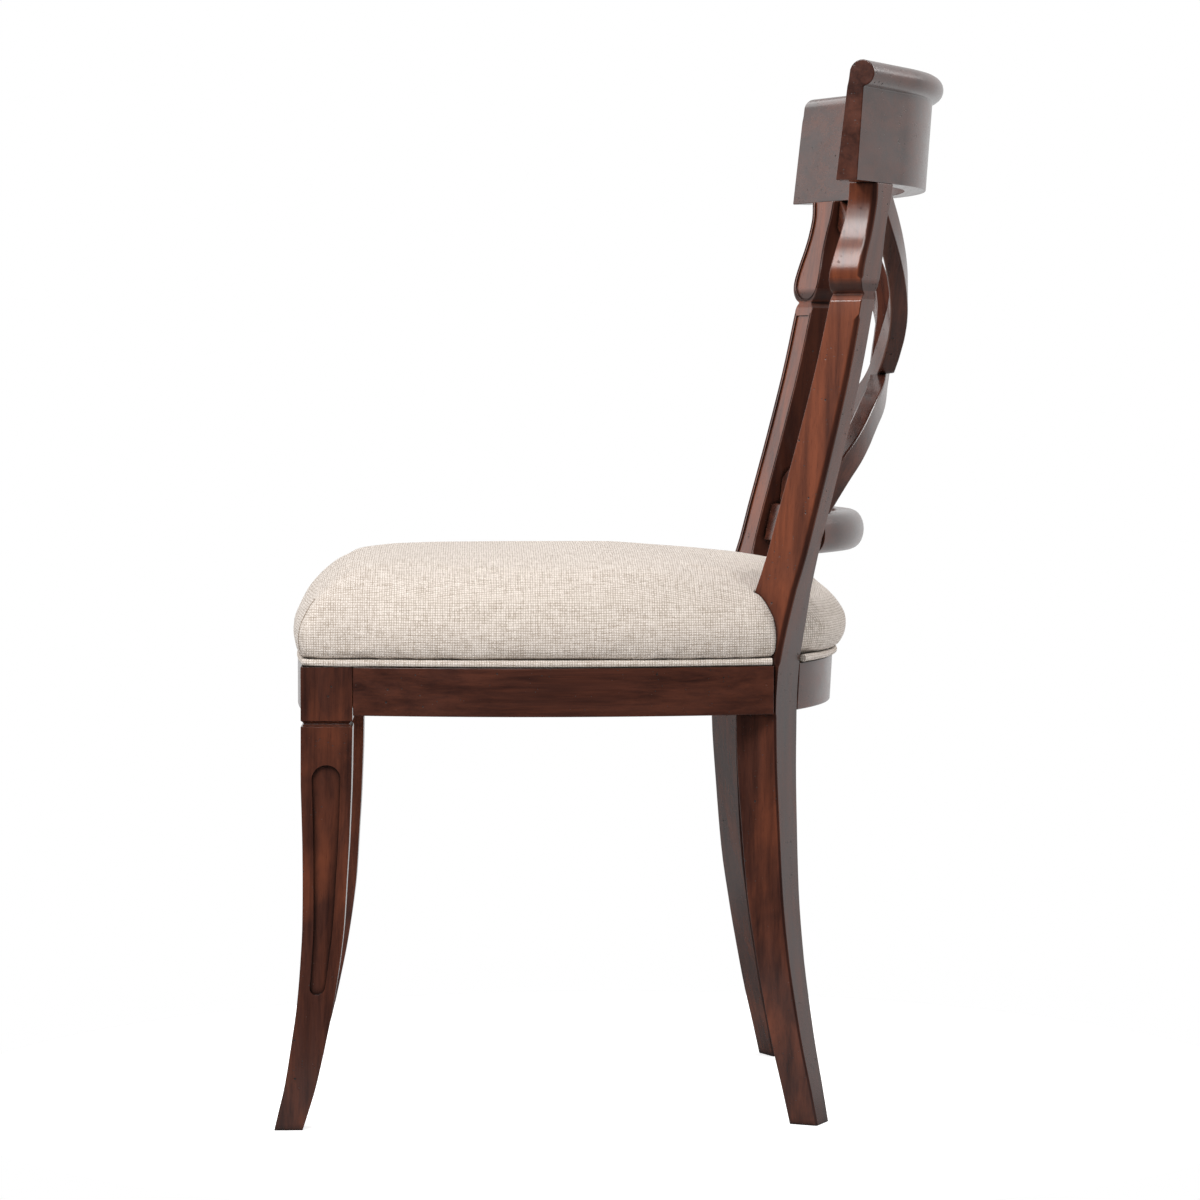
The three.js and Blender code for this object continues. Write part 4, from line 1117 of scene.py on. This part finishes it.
# Painted shade: a dark linen for the corner seams, standing in for the shadow in their crease.
SEAM_SHADE_LINEN = linen("linen darkened as painted seam shade", (0.40, 0.31, 0.24), (0.17, 0.125, 0.09))
BEECH, PLYWOOD = (
    plain_finish(name, cloudy(130, 4, 0.35, 0.65, (1, 0.08, 1)), colours, (0.65, 0.15), (0.2, 0.0004))
    for name, *colours in (("beech", (0.46, 0.31, 0.18), (0.33, 0.20, 0.11)),
                           ("plywood", (0.52, 0.38, 0.23), (0.40, 0.27, 0.15))))
FOAM = plain_finish("seat foam", cloudy(900, 2, 0.4, 0.6), ((0.62, 0.56, 0.40), (0.80, 0.75, 0.58)),
                    (0.95, 0), (0.5, 0.0006))
CAMBRIC = plain_finish("black cambric", fine_weave, ((0.010, 0.010, 0.011), (0.030, 0.029, 0.030)),
                       (0.9, 0), (0.4, 0.0003))
STEEL = plain_finish("zinc plated steel", cloudy(400, 3, 0.3, 0.7), ((0.48, 0.48, 0.47), (0.66, 0.65, 0.62)),
                     (0.3, 0.2), metallic=1.0)


def finish_piece(piece, material, slot, *nodes):
    piece.data.materials.clear()
    piece.data.materials.append(material)
    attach(piece, "root")
    if nodes:
        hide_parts(*nodes)


# Camera and light

def aim(thing, direction):
    thing.rotation_euler = direction.to_track_quat("-Z", "Y").to_euler()


deselect()
bpy.ops.object.camera_add(location=(3.906, -0.1269, 0.6431))
camera = bpy.context.object
set_all(camera.data, sensor_width=36, lens=128.25, clip_end=60)
aim(camera, Vector((-0.998332, 0.029620, -0.049535)))
bpy.context.scene.camera = camera

# Name, place, size, power and what it is turned to
for name, location, size, power, target in (
        ("key", (1.80, -1.44, 2.03), (1.05, 0.78), 30, (0.22, 0.2, 0.77)),
        ("high side light", (2.3, -0.6, 3.2), (1.4, 1.4), 48, (0.22, 0, 0.5)),
        ("far top light", (-1.7, -1.1, 2.5), (1.8, 1.8), 18, (0, 0, 0.45)),
        ("front light", (-1.5, -2.5, 1.45), (1.5, 1.5), 6.5, (0, 0, 0.45)),
        ("rear light", (-0.8, 2.2, 1.9), (1.4, 1.2), 35, (0, 0, 0.45))):
    deselect()
    bpy.ops.object.light_add(type="AREA", location=location)
    lamp = named(name)
    set_all(lamp.data, shape="RECTANGLE", size=size[0], size_y=size[1], energy=power)
    aim(lamp, Vector(target) - Vector(location))

# The world is white to the eye, soft on the chair, and in its gloss brightest away from the camera's side.
world = bpy.data.worlds.new("studio")
bpy.context.scene.world = world
world.use_nodes = True
tree = world.node_tree
tree.nodes.clear()
ray = add_node(tree, "LightPath").outputs
x, y, z = split(add_node(tree, "TexCoord").outputs["Generated"])
away = times(reckon("POWER", reckon("DIVIDE", less(0.55, x), 1.5, clamp=True), 1.7), 0.80)
not_steep = ramp(reckon("ABSOLUTE", z), 0.95, 0.55)
glossy = ray["Is Glossy Ray"]
in_gloss = times(glossy, plus(times(away, not_steep), 0.015))
direct = plus(ray["Is Camera Ray"], ray["Is Transmission Ray"], clamp=True)
soft = less(1.0, plus(direct, glossy), clamp=True)
shown = plus(plus(in_gloss, direct), times(soft, 0.42))
sky = add_node(tree, "Background", {"Color": (1, 1, 1), "Strength": shown})
add_node(tree, "OutputWorld", {0: sky.outputs[0]})

deselect()
bpy.ops.mesh.primitive_circle_add(vertices=96, radius=0.62, fill_type="NGON")
floor = named("floor")
paper = bpy.data.materials.new("pale floor")
paper.use_nodes = True
tree = paper.node_tree
tree.nodes.clear()
ray = add_node(tree, "LightPath").outputs
pale = mix_colour(ray["Is Glossy Ray"], (0.82, 0.82, 0.82), (0.25, 0.25, 0.25))
matt = add_node(tree, "BsdfDiffuse", {"Color": pale})
shown = plus(times(ray["Is Camera Ray"], 0.70), times(ray["Is Glossy Ray"], 0.05))
glow = add_node(tree, "Emission", {"Strength": shown})
both = add_node(tree, "AddShader", {0: matt.outputs[0], 1: glow.outputs[0]})
add_node(tree, "OutputMaterial", {0: both.outputs[0]})
floor.data.materials.append(paper)

bpy.context.scene.view_settings.view_transform = "Standard"

# The chair

leg_room = draw_up("leg_room_left", rear_leg_levels(0.0012))
set_on_back(leg_room)
leg_room_right = other_side(leg_room, "leg_room_right")

for make, wood, name in ((make_rear_leg, BACK_POST, "rear_leg"), (make_front_leg, UPRIGHT, "front_leg"),
                         (make_side_rail, ALONG_SIDE, "side_rail")):
    piece = make()
    finish_piece(piece, wood, "mahogany", f"{name}_left")
    finish_piece(other_side(piece, f"{name}_right_wood"), wood, "mahogany", f"{name}_right")
for make, name in ((make_front_rail, "front_rail"), (make_rear_rail, "rear_rail"), (make_crest, "crest_rail"),
                   (make_lower_rail, "lower_back_rail")):
    finish_piece(make(), ACROSS, "mahogany", name)
splat_bars = make_splat([leg_room, leg_room_right])
for bar, wood, side in zip(splat_bars, (RISING_LEFT, RISING_RIGHT), ("left", "right")):
    finish_piece(bar, wood, "mahogany", f"splat_bar_rising_{side}")

stile_cutters = stile_rooms()
cushion = make_cushion(stile_cutters)
finish_piece(cushion, LINEN, "linen", "seat_cover")
# The seams are thin tubes, coloured as painted shade of the crease along each seam.
for seam in make_corner_seams(cushion):
    finish_piece(seam, SEAM_SHADE_LINEN, "linen")
foam = padded_form("seat_foam_block", 0.0095, RAIL_TOP + 0.0123)
cut_away(foam, *stile_cutters)
finish_piece(foam, FOAM, "foam", "seat_foam")
for welt, name in zip(make_welts(), ("seat_welt_front", "seat_welt_rear")):
    finish_piece(welt, LINEN, "linen", name)
throw_away(leg_room, leg_room_right, *stile_cutters)
dust_cover, cut_size, cut_area = make_dust_cover()
finish_piece(dust_cover, CAMBRIC, "cambric", "dust_cover")

for name, part in chair_nodes.items():
    for word, finish in (("dowel", BEECH), ("corner_block", BEECH), ("screw", STEEL), ("seat_board", PLYWOOD)):
        if word in name:
            for spot in part.material_slots:
                spot.material = finish
